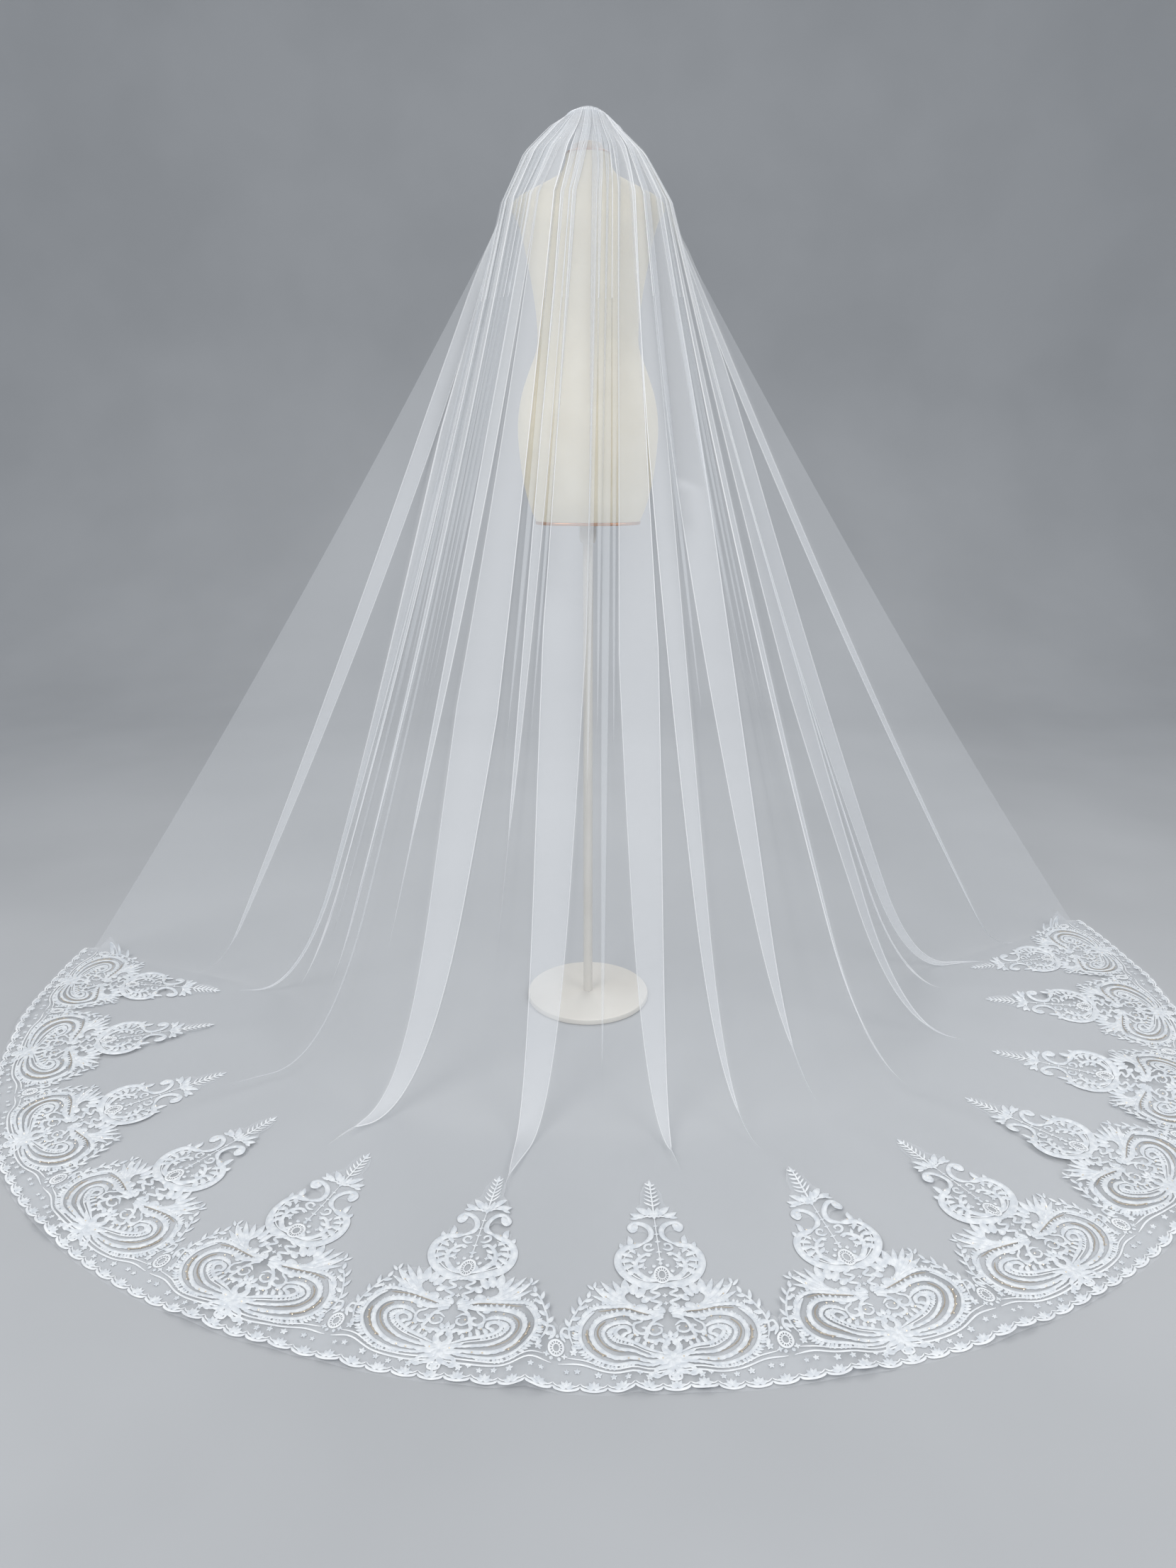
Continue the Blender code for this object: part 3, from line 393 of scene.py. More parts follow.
def colour(text):
    """Linear RGB and alpha 1 of an sRGB hex colour."""
    parts = [int(text[i:i + 2], 16) / 255 for i in (1, 3, 5)]
    return (*[c / 12.92 if c <= 0.04045 else ((c + 0.055) / 1.055) ** 2.4 for c in parts], 1.0)


def add_node(tree, kind, links=(), **settings):
    """A node of a kind with its settings, and links from other nodes' outputs to its inputs."""
    node = tree.nodes.new(kind)
    for name, value in settings.items():
        if name in node.inputs:
            node.inputs[name].default_value = value
        else:
            setattr(node, name, value)
    for source, output, target in links:
        tree.links.new(source.outputs[output], node.inputs[target])
    return node


def plain_material(name, base, roughness, **values):
    """A material of one colour and roughness, with other sockets' values by name."""
    material = bpy.data.materials.new(name)
    material.use_nodes = True
    shader = material.node_tree.nodes["Principled BSDF"]
    shader.inputs["Base Color"].default_value = colour(base)
    shader.inputs["Roughness"].default_value = roughness
    for socket, value in values.items():
        shader.inputs[socket.replace("_", " ")].default_value = value
    return material


def add_weave(material, size, depth):
    """Bump from fine noise in Object coordinates: size is the grain in metres and depth its relief."""
    tree = material.node_tree
    place = add_node(tree, "ShaderNodeTexCoord")
    grain = add_node(tree, "ShaderNodeTexNoise", [(place, "Object", "Vector")], Scale=1 / size, Detail=2.0)
    bump = add_node(tree, "ShaderNodeBump", [(grain, "Fac", "Height")], Strength=0.5, Distance=depth)
    tree.links.new(bump.outputs["Normal"], tree.nodes["Principled BSDF"].inputs["Normal"])


def add_tones(material, light, dark, size, stretch):
    """Base colour that drifts between two tones with noise of a size in metres, squeezed by stretch."""
    tree = material.node_tree
    place = add_node(tree, "ShaderNodeTexCoord")
    scaled = add_node(tree, "ShaderNodeMapping", [(place, "Object", "Vector")], Scale=stretch)
    drift = add_node(tree, "ShaderNodeTexNoise", [(scaled, "Vector", "Vector")], Scale=1 / size, Detail=3.0)
    ramp = add_node(tree, "ShaderNodeValToRGB", [(drift, "Fac", "Fac")])
    ramp.color_ramp.elements[0].position = 0.35
    ramp.color_ramp.elements[1].position = 0.65
    ramp.color_ramp.elements[0].color = colour(dark)
    ramp.color_ramp.elements[1].color = colour(light)
    tree.links.new(ramp.outputs["Color"], tree.nodes["Principled BSDF"].inputs["Base Color"])


def make_materials():
    """The finishes by key: each real material's colour and gloss, then its weave or grain and its tones."""
    looks = {
        # Soft knitted nylon: the holes between its fine threads let most of what lies behind show
        "tulle": plain_material("sheer white tulle", "#F1F5FA", 0.62, Alpha=0.16, Specular_IOR_Level=0.3),
        # The same tulle where it turns over: its threads stand in line, so the edge is a bright line
        "fold": plain_material("folded edge of tulle", "#F8FAFD", 0.5, Alpha=0.72),
        # The same tulle pressed into a pleat: its layers cling and look a little closer than one layer does
        "lap": plain_material("lapped tulle", "#F4F7FB", 0.6, Alpha=0.21, Specular_IOR_Level=0.3),
        # The net under the embroidery, a closer mesh than the tulle's
        "ground": plain_material("lace net ground", "#E9EDF2", 0.7, Alpha=0.24),
        # Twisted cotton cord sewn down on the net: matt white, light along its top
        "cord": plain_material("white lace cord", "#F4F6F8", 0.5),
        # Rayon stitches side by side: a soft sheen across the threads
        "satin": plain_material("white satin stitch", "#ECEFF3", 0.42, Sheen_Weight=0.2),
        # Grey-brown thread laid in the gaps between the white bands: painted shade, the shadow lines that fall
        # there
        "painted_shade": plain_material("painted shade thread", "#B0A699", 0.6),
        # Cut glass with a foil back: small sharp glints with a warm cast
        "crystal": plain_material("warm sewn crystal", "#F6E6CC", 0.12, Metallic=0.35, Specular_IOR_Level=0.8),
        # Knitted cotton stretched over padding: matt, with a little nap at its outline
        "jersey": plain_material("ivory jersey cover", "#E8DEC3", 0.85, Sheen_Weight=0.15),
        # Copper strip, brushed round the form: a warm metal with a broad soft gloss
        "copper": plain_material("brushed copper trim", "#C38A5E", 0.36, Metallic=1.0),
        # Turned beech under varnish: a soft gloss over long grain
        "wood": plain_material("varnished pale wood", "#C9AE8A", 0.45),
        # Powder coated steel: even and slightly glossy
        "steel": plain_material("cream painted steel", "#DAD7D0", 0.38),
        # Drawn and plated wire: bright, with narrow mirrored lights
        "wire": plain_material("bright comb wire", "#D9DBDE", 0.2, Metallic=1.0),
        # Woven satin ribbon: smooth, with a sheen
        "binding": plain_material("white satin binding", "#DDE1E6", 0.4, Sheen_Weight=0.2),
        # Matt painted studio floor and wall
        "floor": plain_material("pale grey floor", "#B1B4B8", 0.9),
    }
    # Columns: finish, grain and relief in metres. Real tulle has holes of about 0.9 mm, and satin stitch, cord
    # and jersey threads of 0.3 to 0.5 mm. They are too fine to show, so each is drawn as coarse as needed
    for name, grain, relief in (
            ("tulle", 0.0013, 0.0002), ("fold", 0.0013, 0.0002), ("lap", 0.0013, 0.0002),
            ("ground", 0.0022, 0.0004), ("cord", 0.0011, 0.0003), ("satin", 0.0009, 0.0003),
            ("painted_shade", 0.0009, 0.0003), ("jersey", 0.0016, 0.0003), ("steel", 0.004, 0.00004),
            ("binding", 0.0012, 0.0002),
            ("copper", 0.0010, 0.00005), ("wire", 0.0015, 0.00003), ("wood", 0.0018, 0.00008)):
        add_weave(looks[name], grain, relief)
    # Columns: finish, light tone, dark tone, size of the patches in metres, squeeze along each axis
    even = (1, 1, 1)
    for name, light, dark, size, stretch in (
            ("cord", "#F1F4F7", "#DFE3E8", 0.02, even), ("satin", "#E6EAEE", "#CFD5DC", 0.012, even),
            # Tones of the grey-brown thread, which is painted shade between the white bands
            ("painted_shade", "#B8AFA2", "#9E9487", 0.02, even), ("jersey", "#EBE1C7", "#E2D7BA", 0.09, even),
            ("copper", "#CB9468", "#B67C50", 0.01, (1, 1, 14)),
            ("wood", "#D1B792", "#B99B74", 0.02, (6, 6, 1)),
            ("steel", "#DDDAD3", "#D3CFC7", 0.2, even), ("wire", "#DDDFE2", "#CDD0D4", 0.006, even),
            ("binding", "#D3D8DE", "#C2C8CF", 0.008, (1, 1, 0.2)),
            ("floor", "#B4B7BB", "#AEB1B5", 0.9, even)):
        add_tones(looks[name], light, dark, size, stretch)
    return looks


def add_object(name, data):
    """An object of a mesh, lamp or camera, linked to the scene."""
    thing = bpy.data.objects.new(name, data)
    bpy.context.scene.collection.objects.link(thing)
    return thing


def add_mesh(name, points, faces, materials, indices=None):
    """A smooth object at the origin from points and a list of faces. indices are the faces' materials."""
    mesh = bpy.data.meshes.new(name)
    mesh.from_pydata(points.tolist(), [], faces)
    for material in materials:
        mesh.materials.append(material)
    if indices is not None:
        mesh.polygons.foreach_set("material_index", np.asarray(indices, np.int32))
    mesh.polygons.foreach_set("use_smooth", np.full(len(mesh.polygons), True))
    mesh.update()
    return add_object(name, mesh)


def grid_object(name, points, closed, materials, indices=None, flipped=False):
    """An object from a grid of points, columns by rows, whose quads run the other way round when flipped."""
    faces = grid_faces(*points.shape[:2], closed)
    if flipped:
        faces = faces[:, ::-1]
    return add_mesh(name, points.reshape(-1, 3), faces.tolist(), materials, indices)


def grid_faces(across, down, closed=False):
    """Quads of a grid whose points run down each column; closed joins the last column to the first."""
    i, j = np.meshgrid(np.arange(across if closed else across - 1), np.arange(down - 1), indexing="ij")
    k = (i + 1) % across
    return np.stack([i * down + j, i * down + j + 1, k * down + j + 1, k * down + j], -1).reshape(-1, 4)


def unit(vectors):
    """Vectors at length 1."""
    return vectors / np.maximum(np.linalg.norm(vectors, axis=-1, keepdims=True), 1e-12)


def smooth_step(value):
    """Runs from 0 to 1 with a level start and end: 3 t squared less 2 t cubed."""
    value = np.clip(value, 0, 1)
    return value * value * (3 - 2 * value)


def hem_reach(bearing):
    """Plan radius of the hem: a swell with the squared sine, a lean to the right and a tail past TAIL_FROM."""
    tail = np.maximum(0, np.abs(bearing) - TAIL_FROM)
    return HEM_FRONT + HEM_SWELL * np.sin(bearing) ** 2 + HEM_LEAN * np.sin(bearing) + HEM_TAIL * tail**2


def lying_width(bearing):
    """Width of tulle on the floor: LIE, less within LIE_RAMP of each raw edge."""
    ramp = np.clip(np.minimum(bearing - EDGE_LEFT, EDGE_RIGHT - bearing) / LIE_RAMP, 0, 1)
    return LIE_AT_EDGE + (LIE - LIE_AT_EDGE) * np.sin(ramp * math.pi / 2)


def smooth_cloth(bearing, gathered, stage):
    """The veil without pleats: half ellipses through HEAD_RINGS, then a fall that sags and meets the floor.

    Down the fall a point runs straight in plan from the last ring to its foot, less a sag of 4 t (1 - t). Its
    height falls evenly with t and ends in a parabola that is level at the floor.
    """
    stages, heights, lefts, rights, backs, evens = np.array(HEAD_RINGS).T
    at = np.clip(stage, 0, 1)
    even = np.interp(at, stages, evens)
    angle = even * gathered + (1 - even) * bearing
    sideways = np.where(angle < 0, np.interp(at, stages, lefts), np.interp(at, stages, rights))
    top = np.stack([sideways * np.sin(angle), -np.interp(at, stages, backs) * np.cos(angle)], -1)
    height = np.interp(at, stages, heights)
    out = np.stack([np.sin(bearing), -np.cos(bearing)], -1)
    lie = lying_width(bearing)
    foot = (hem_reach(bearing) - lie)[..., None] * out
    fall = np.clip(stage - 1, 0, 1)
    lying = np.clip(stage - 2, 0, 1)
    touch = 1 - BEND * lie / np.linalg.norm(foot - top, axis=-1)
    bend = 1 - touch
    drop = np.where(fall < touch - bend, 1 - fall / touch, (1 - fall) ** 2 / (4 * bend * touch))
    height = height - DOME * np.sin(angle) ** 2 * np.clip(1 - stage / DOME_STAGE, 0, 1)
    plan = top + (foot - top) * fall[..., None] + (lie * lying - SAG * 4 * fall * (1 - fall))[..., None] * out
    return np.concatenate([plan, (FLOOR_GAP + (height - FLOOR_GAP) * drop)[..., None]], -1)


def cloth_frame(bearing, gathered, stage):
    """The smooth surface's points, its outward normals, and metres sideways for a radian of bearing."""
    step = 1e-4
    here = smooth_cloth(bearing, gathered, stage)
    ahead = smooth_cloth(bearing + step, gathered + step, stage)
    behind = smooth_cloth(bearing - step, gathered - step, stage)
    along = (ahead - behind) / (2 * step)
    low = smooth_cloth(bearing, gathered, np.minimum(stage + step, 3))
    high = smooth_cloth(bearing, gathered, np.maximum(stage - step, 0))
    down = unit(low - high)
    normal = unit(np.cross(down, along))
    speed = np.abs((along * np.cross(normal, down)).sum(-1))
    return here, normal, speed


def ripple(bearing, stage):
    """Height of the ridges that run on from the folds, and of the bumps along the hem.

    Each is a bell across its bearing. Ridges rise where the fall nears the floor and are lower at the hem, and
    bumps rise over the outer half of the lying tulle.
    """
    share = np.clip(stage - 2, 0, 1)
    rise = smooth_step((stage - 1.75) / 0.3) * (1 - 0.45 * share)
    degrees = np.degrees(bearing)
    total = np.zeros(np.broadcast(bearing, stage).shape)
    for start, end, width, height in RIDGES:
        middle = start + (end - start) * share**1.3
        total += height * np.exp(-(((degrees - middle) / (width * (1 + share))) ** 2))
    total = total * rise
    for middle, width, height in HEM_BUMPS:
        total += height * np.exp(-(((degrees - middle) / width) ** 2)) * smooth_step((share - 0.45) / 0.5)
    return total


def all_pleats():
    """Main pleats with fine gathers between them, left to right, as arrays.

    Columns: bearing, widest overlap, stage where it opens, side, swell on its right, and 1 for a main pleat.
    """
    chance = np.random.default_rng(7)
    rows = [(math.radians(b), widest, opened, side, swell, 1) for _, b, widest, opened, side, swell in PLEATS]
    reach = [0] + [row[1] / 2 / SIDEWAYS_AT_HIPS for row in rows] + [0]
    bounds = [EDGE_LEFT] + [row[0] for row in rows] + [EDGE_RIGHT]
    extra = []
    for k in range(len(bounds) - 1):
        low = bounds[k] + reach[k]
        high = bounds[k + 1] - reach[k + 1]
        count = max(0, round(math.degrees(high - low) / GATHER_DEGREES) - 1)
        for step in range(count):
            at = low + (high - low) * (step + 1 + chance.uniform(-0.25, 0.25)) / (count + 1)
            opens = LONG_GATHER_OPENS if chance.uniform() < LONG_GATHERS else GATHER_OPENS
            extra.append((at, chance.uniform(0.004, 0.016), chance.uniform(*opens),
                          chance.choice([-1, 1]), chance.uniform(-0.003, 0.003), 0))
    return np.array(sorted(rows + extra))


def room_between(bearings, gathered, speed, share):
    """Metres from each pleat to the nearer of its neighbours or the raw edges, row by row.

    share says how far a row still follows the even gathering.
    """
    at_floor = np.diff(np.concatenate([[EDGE_LEFT], bearings, [EDGE_RIGHT]]))[:, None]
    at_comb = np.diff(np.concatenate([[EDGE_LEFT], gathered, [EDGE_RIGHT]]))[:, None]
    gaps = at_floor * (1 - share) + at_comb * share
    return np.minimum(gaps[:-1], gaps[1:]) * speed


def pleat_columns(pleat, even, speed, room, widest_lap, stage, chance):
    """Columns round one pleat as (bearing, even bearing, height), and their marks.

    The cloth runs past the pleat, turns over a rounded edge, runs back and turns again: three layers. Places
    are metres to the side of the pleat's bearing, and levels are layers above the smooth surface.
    """
    bearing, widest, opened, side, _, main = pleat
    grow = np.clip((stage - LAP_STARTS) / (LAP_FULL - LAP_STARTS), 0, 1)
    close = np.clip((stage - LAP_FULL) / (opened - LAP_FULL), 0, 1)
    lap = np.minimum(widest * grow * (1 - close**2), widest_lap)
    crowd = np.interp(stage, [0, 0.5, 1, 1.2, 1.45], [2.5, 2.3, 1.3, 0.5, 0])
    lap = np.maximum(lap, crowd * room * chance.uniform(0.6, 1.15))
    depth = np.minimum(PLEAT_DEPTH if main else GATHER_DEPTH, room / 5)
    depth = depth * (1 - smooth_step((stage - opened) / FLATTENS))
    nose = np.minimum(depth / 2, lap / 2) + 1e-5
    puff = PUFF * chance.uniform(-0.6, 1) * np.interp(stage, [0, 0.12, 0.55, 1, 1.4], [0, 0.5, 1, 0.7, 0])
    turns = np.radians([-90, -40, 0, 40, 90] if main else [-90, 0, 90])
    places = [-lap / 2 - 3 * nose] + [lap / 2 + nose * math.cos(t) for t in turns]
    places += [lap / 6, -lap / 6]
    places += [-lap / 2 - nose * math.cos(t) for t in turns] + [lap / 2 + 3 * nose]
    levels = [0.0] + [0.5 + 0.5 * math.sin(t) for t in turns] + [1.0, 1.0]
    levels += [1.5 + 0.5 * math.sin(t) for t in turns] + [2.0]
    edge, inside = ([MAIN_EDGE], [MAIN_LAP]) if main else ([GATHER_EDGE], [PLAIN])
    marks = inside + edge * len(turns) + inside * 2 + edge * len(turns) + inside
    shift = np.array(places) / speed
    level = np.array(levels)[:, None]
    height = (level if side > 0 else 2 - level) * depth + puff
    return np.stack([bearing + shift, even + shift, height], 1), marks


def pleated_veil():
    """Points of the veil, columns by rows, and a mark for each column.

    Between two pleats the cloth runs straight from one to the next, with a soft swell that fades at the head
    and the floor.
    """
    chance = np.random.default_rng(11)
    stage = np.concatenate([np.linspace(0, 1, 26)[:-1], np.linspace(1, 1.7, 34)[:-1],
                            np.linspace(1.7, 2.1, 38)[:-1], np.linspace(2.1, 3, 36)])
    pleats = all_pleats()
    count = len(pleats)
    mains = np.where(pleats[:, 5] == 1)[0]
    even = EDGE_LEFT + (EDGE_RIGHT - EDGE_LEFT) * (np.arange(count) + 0.5) / count
    _, _, speed = cloth_frame(*np.broadcast_arrays(pleats[:, None, 0], even[:, None], stage))
    stages, *_, evens = np.array(HEAD_RINGS).T
    share = np.interp(np.clip(stage, 0, 1), stages, evens) * (1 - np.clip(stage - 1, 0, 1))
    room = room_between(pleats[:, 0], even, speed, share)
    widest_laps = GATHER_SHARE * room
    widest_laps[mains] = MAIN_SHARE * room_between(pleats[mains, 0], even[mains], speed[mains], share)
    soft = np.interp(stage, [0, 0.75, 1.2, 1.6, 1.92, 2.0], [0, 0.1, 0.6, 1, 0.3, 0])
    level = np.zeros(len(stage))
    first = np.stack([level + EDGE_LEFT, level + EDGE_LEFT, level])
    last = np.stack([level + EDGE_RIGHT, level + EDGE_RIGHT, level])
    columns, marks = [first[None]], [PLAIN]
    start, swell = first, 0.0
    for k in range(count + 1):
        if k < count:
            added, fold = pleat_columns(pleats[k], even[k], speed[k], room[k], widest_laps[k], stage, chance)
        else:
            added, fold = last[None], [PLAIN]
        for step in (0.25, 0.5, 0.75):
            column = start + (added[0] - start) * step
            column[2] = start[2] + (added[0, 2] - start[2]) * smooth_step(step)
            column[2] += swell * soft * math.sin(math.pi * step)
            columns.append(column[None])
        columns.append(added)
        marks += [PLAIN] * 3 + fold
        start = added[-1]
        swell = pleats[k, 4] if k < count else 0.0
    bearings, gathered, heights = np.concatenate(columns).transpose(1, 0, 2)
    bearings = np.clip(bearings, EDGE_LEFT, EDGE_RIGHT)
    here, normal, _ = cloth_frame(*np.broadcast_arrays(bearings, gathered, stage))
    heights = heights + ripple(bearings, np.broadcast_to(stage, bearings.shape))
    return here + normal * heights[..., None], np.array(marks)


def build_tulle(looks):
    """One width of tulle as an open sheet. Folded edges and main pleats' laps take the denser finishes."""
    points, marks = pleated_veil()
    left, right = marks[:-1, None], marks[1:, None]
    high = points[:-1, :-1, 2] > FINE_EDGE_FROM
    edge = (left == right) & ((left == MAIN_EDGE) | ((left == GATHER_EDGE) & high))
    lapped = (left >= MAIN_EDGE) & (right >= MAIN_EDGE) & (left + right > 2 * MAIN_EDGE)
    finishes = [looks["tulle"], looks["fold"], looks["lap"]]
    return grid_object("veil_tulle", points, False, finishes, (edge + 2 * lapped).ravel())


def through(points, samples):
    """A smooth path through points by Catmull-Rom's cubic, with that many samples for each step."""
    p = np.array(points, float)
    p = np.vstack([2 * p[0] - p[1], p, 2 * p[-1] - p[-2]])
    t = np.linspace(0, 1, samples, endpoint=False)[:, None, None]
    a, b, c, d = p[:-3], p[1:-2], p[2:-1], p[3:]
    path = 0.5 * (2 * b + (c - a) * t + (2 * a - 5 * b + 4 * c - d) * t**2 + (3 * b - a - 3 * c + d) * t**3)
    return np.vstack([path.transpose(1, 0, 2).reshape(-1, 2), p[-2]])


def stroke(path, left, right, rise, sides=4):
    """A domed ribbon along a path, as points (across, in, up) and quads.

    Across it runs half a sine arch of its own reach to the left and right and its own rise at each point.
    """
    tangent = unit(np.gradient(path, axis=0))
    aside = np.stack([-tangent[:, 1], tangent[:, 0]], -1)
    angle = np.linspace(0, math.pi, sides)
    reach = np.cos(angle) * np.where(np.cos(angle) > 0, left[:, None], right[:, None])
    height = np.sin(angle) * rise[:, None]
    flat = path[:, None, :] + aside[:, None, :] * reach[..., None]
    points = np.concatenate([flat, height[..., None]], -1)
    return points.reshape(-1, 3), grid_faces(len(path), sides)


def cord_stroke(points, start, end, bumps, mirrored=1, samples=6):
    """A cord: its width runs from start to end, pinched at its ends, with round bumps along its outer side."""
    path = through(points, max(samples, 1 + bumps * 4 // len(points))) * np.array([mirrored, 1])
    along = np.linspace(0, 1, len(path))
    half = (start + (end - start) * along) / 2 * np.minimum(1, 0.35 + 5 * np.minimum(along, 1 - along))
    bulge = half * (1 + 0.35 * np.abs(np.sin(math.pi * bumps * along))) if bumps else half
    left, right = (half, bulge) if mirrored > 0 else (bulge, half)
    rise = 0.32 * half + 0.4
    return stroke(path, left, right, np.where((along == 0) | (along == 1), 0.1, rise))


def leaf_stroke(across, inwards, direction, length, width, bend, mirrored=1):
    """A leaf: its midline turns evenly by twice bend round its direction, and its width swells with a sine."""
    steps = 6
    along = np.linspace(0, 1, steps + 1)
    heading = np.radians(direction + bend * (along - 0.5) * 2)
    step = length / steps
    path = np.stack([across + np.concatenate([[0], np.cumsum(np.cos(heading[1:]) * step)]),
                     inwards + np.concatenate([[0], np.cumsum(np.sin(heading[1:]) * step)])], -1)
    path = path * np.array([mirrored, 1])
    half = width / 2 * np.sin(math.pi * along**0.8) ** 0.7
    half[0], half[-1] = 0.12 * width, 0.03 * width
    return stroke(path, half, half, 0.3 * half + 0.3)


def ring_stroke(across, inwards, wide, deep, width):
    """A closed oval cord."""
    angle = np.linspace(0, 2 * math.pi, 25)
    path = np.stack([across + wide * np.cos(angle), inwards + deep * np.sin(angle)], -1)
    half = np.full(len(angle), width / 2)
    return stroke(path, half, half, 0.32 * half + 0.5)


def spokes(across, inwards, wide, deep, inner, count):
    """Short cords from an oval ring in to a smaller one, which is the share inner of it."""
    pieces = []
    half = np.full(3, 0.9)
    for angle in np.arange(count) * 2 * math.pi / count:
        direction = np.array([math.cos(angle) * wide, math.sin(angle) * deep])
        spoke = np.stack([direction, direction * (1 + inner) / 2, direction * inner])
        pieces.append(stroke(np.array([across, inwards]) + spoke, half, half, half, 3))
    return pieces


def flower(across, inwards, petals, reach, turn=90):
    """Petals evenly round a centre, the first at turn."""
    turns = [turn + 360 * k / petals for k in range(petals)]
    return [leaf_stroke(across, inwards, direction, reach, reach * 0.62, 0) for direction in turns]


def petals_round(across, inwards, wide, deep, length, width, directions):
    """Petals that stand on an oval at some directions in degrees and point away from its centre."""
    pieces = []
    for angle in np.radians(directions):
        foot = (across + wide * math.cos(angle), inwards + deep * math.sin(angle))
        pieces.append(leaf_stroke(*foot, math.degrees(angle), length, width, 0))
    return pieces


def medallion(across, inwards, wide, deep, count):
    """An openwork oval: an outer ring, an inner ring and spokes between them."""
    outer = ring_stroke(across, inwards, wide, deep, 4.2)
    inner = ring_stroke(across, inwards, wide * 0.5, deep * 0.55, 2.4)
    return [outer, inner] + spokes(across, inwards, wide, deep, 0.52, count)


def feather(points, count, length, width, slant, mirrored):
    """A crescent of short petals side by side along a path, longest at its middle."""
    path = through(points, 12)
    at = np.linspace(0, len(path) - 1, count)
    tangent = unit(np.gradient(path, axis=0))
    pieces = []
    for spot in at.astype(int):
        direction = math.degrees(math.atan2(tangent[spot, 1], tangent[spot, 0])) + slant
        size = length * (0.45 + 0.55 * math.sin(math.pi * spot / (len(path) - 1)))
        pieces.append(leaf_stroke(path[spot, 0], path[spot, 1], direction, size, width, 10, mirrored))
    return pieces


def scallop_strokes(left, pitch):
    """A scallop from left: its arched cord, a fine one inside it, and a fan of five petals, by thread."""
    arc = [(left + pitch * share, y) for share, y in ((0, 8), (0.16, 3), (0.5, 0.5), (0.84, 3), (1, 8))]
    cords = [cord_stroke(arc, 5, 5, 0), cord_stroke([(x, y + 6) for x, y in arc], 2.4, 2.4, 0)]
    return cords, [leaf_stroke(left + pitch / 2, 5, angle, 15, 7.5, 0) for angle in (20, 55, 90, 125, 160)]


def motif_strokes(width, end):
    """All strokes of one repeat in millimetres, by thread.

    width is the repeat's width along the hem in metres. end is -1 for the first repeat, 1 for the last, else 0.
    """
    half = width * 500
    # The grey-brown thread's strokes are painted shade in the gaps between the white bands
    cords, satins, painted_shades = [], [], []
    threads = {"cord": cords, "satin": satins, "painted_shade": painted_shades}
    for side in (1, -1):
        for _, wide_first, wide_last, bumps, thread, points in CORDS:
            threads[thread].append(cord_stroke(points, wide_first, wide_last, bumps, side))
        for _, across, inwards, direction, length, leaf, bend, thread in LEAVES:
            threads[thread].append(leaf_stroke(across, inwards, direction, length, leaf, bend, side))
        for across, inwards, petals, reach in FLOWERS:
            satins += flower(side * across, inwards, petals, reach)
        for _, count, length, petal, slant, points in FEATHERS:
            satins += feather(points, count, length, petal, slant, side)
        for inwards in range(FERN_FROM, FERN_TO, FERN_STEP):
            length = FERN_LENGTH - (inwards - FERN_FROM) * FERN_TAPER
            cords.append(leaf_stroke(0, inwards, 90 - side * FERN_SLANT, length, FERN_WIDTH, side * 8))
    cords += [cord_stroke(points, wide_first, wide_last, 0) for wide_first, wide_last, points in MIDDLE_CORDS]
    satins.append(leaf_stroke(0, 484, 90, 24, 8, 0))
    cords += medallion(0, 246, 14, 19, 16)
    satins += petals_round(0, 246, 18, 24, 9, 8, [-60, -20, 20, 55, 90, 125, 160, 200, 240])
    satins.append(ring_stroke(0, 86, 11, 15, 8))
    satins += flower(0, 60, 9, 20, 270)
    satins += petals_round(0, 88, 12, 16, 15, 10, [30, 60, 90, 120, 150])
    for inwards, petals, reach in MIDDLE_FLOWERS:
        satins += flower(0, inwards, petals, reach)
    joint = -half + (JOINT_INSET if end == -1 else 0)
    cords += medallion(joint, 82, 13, 16, 14)
    satins += petals_round(joint, 82, 17, 20, 8, 7, [60, 90, 120, 250, 290])
    if end == 1:
        cords += medallion(half - JOINT_INSET, 82, 13, 16, 14)
    pitch = 2 * half / SCALLOPS
    for k in range(SCALLOPS):
        edging, fan = scallop_strokes(-half + k * pitch, pitch)
        cords += edging
        satins += fan
    return threads


def merge(pieces):
    """Points and quads of many pieces as one pair of arrays."""
    points, faces, start = [], [], 0
    for p, f in pieces:
        points.append(p)
        faces.append(f + start)
        start += len(p)
    return np.concatenate(points), np.concatenate(faces)


def hem_track():
    """The hem's line inside the tulle's edge: lengths, points and the directions in from the hem."""
    bearing = np.linspace(EDGE_LEFT, EDGE_RIGHT, HEM_POINTS)
    reach = hem_reach(bearing) - LACE_INSET
    points = np.stack([reach * np.sin(bearing), -reach * np.cos(bearing)], -1)
    tangent = unit(np.gradient(points, axis=0))
    inward = np.stack([-tangent[:, 1], tangent[:, 0]], -1)
    lengths = np.concatenate([[0], np.cumsum(np.linalg.norm(np.diff(points, axis=0), axis=1))])
    return lengths, points, inward


def onto_floor(across, inwards, middle, track, width):
    """Plan of a motif's points round a place on the hem: curved with the hem near it, straight further in."""
    lengths, points, inward = track

    def read(values, at):
        return np.stack([np.interp(at, lengths, values[:, 0]), np.interp(at, lengths, values[:, 1])], -1)

    at = np.clip(middle + across, 0, lengths[-1])
    over = (middle + across - at)[:, None]
    normal = unit(read(inward, np.array([middle])))[0]
    side = np.array([normal[1], -normal[0]])
    curved = read(points, at) + read(inward, at) * inwards[:, None] + over * side
    straight = read(points, np.array([middle]))[0] + side * across[:, None] + normal * inwards[:, None]
    share = smooth_step(inwards / BEND_INTO_MOTIF) * (1 - np.clip(2 * np.abs(across) / width, 0, 1) ** 3)
    return curved * (1 - share[:, None]) + straight * share[:, None]


def lean_inwards(across, inwards, width, end):
    """Shears an end repeat away from its raw edge. end is -1 for the first repeat, 1 for the last, else 0."""
    share = np.clip((width / 2 + end * across) / (width / 2 - LEAN_PLATEAU), 0, 1)
    return across - end * LEAN * inwards * share


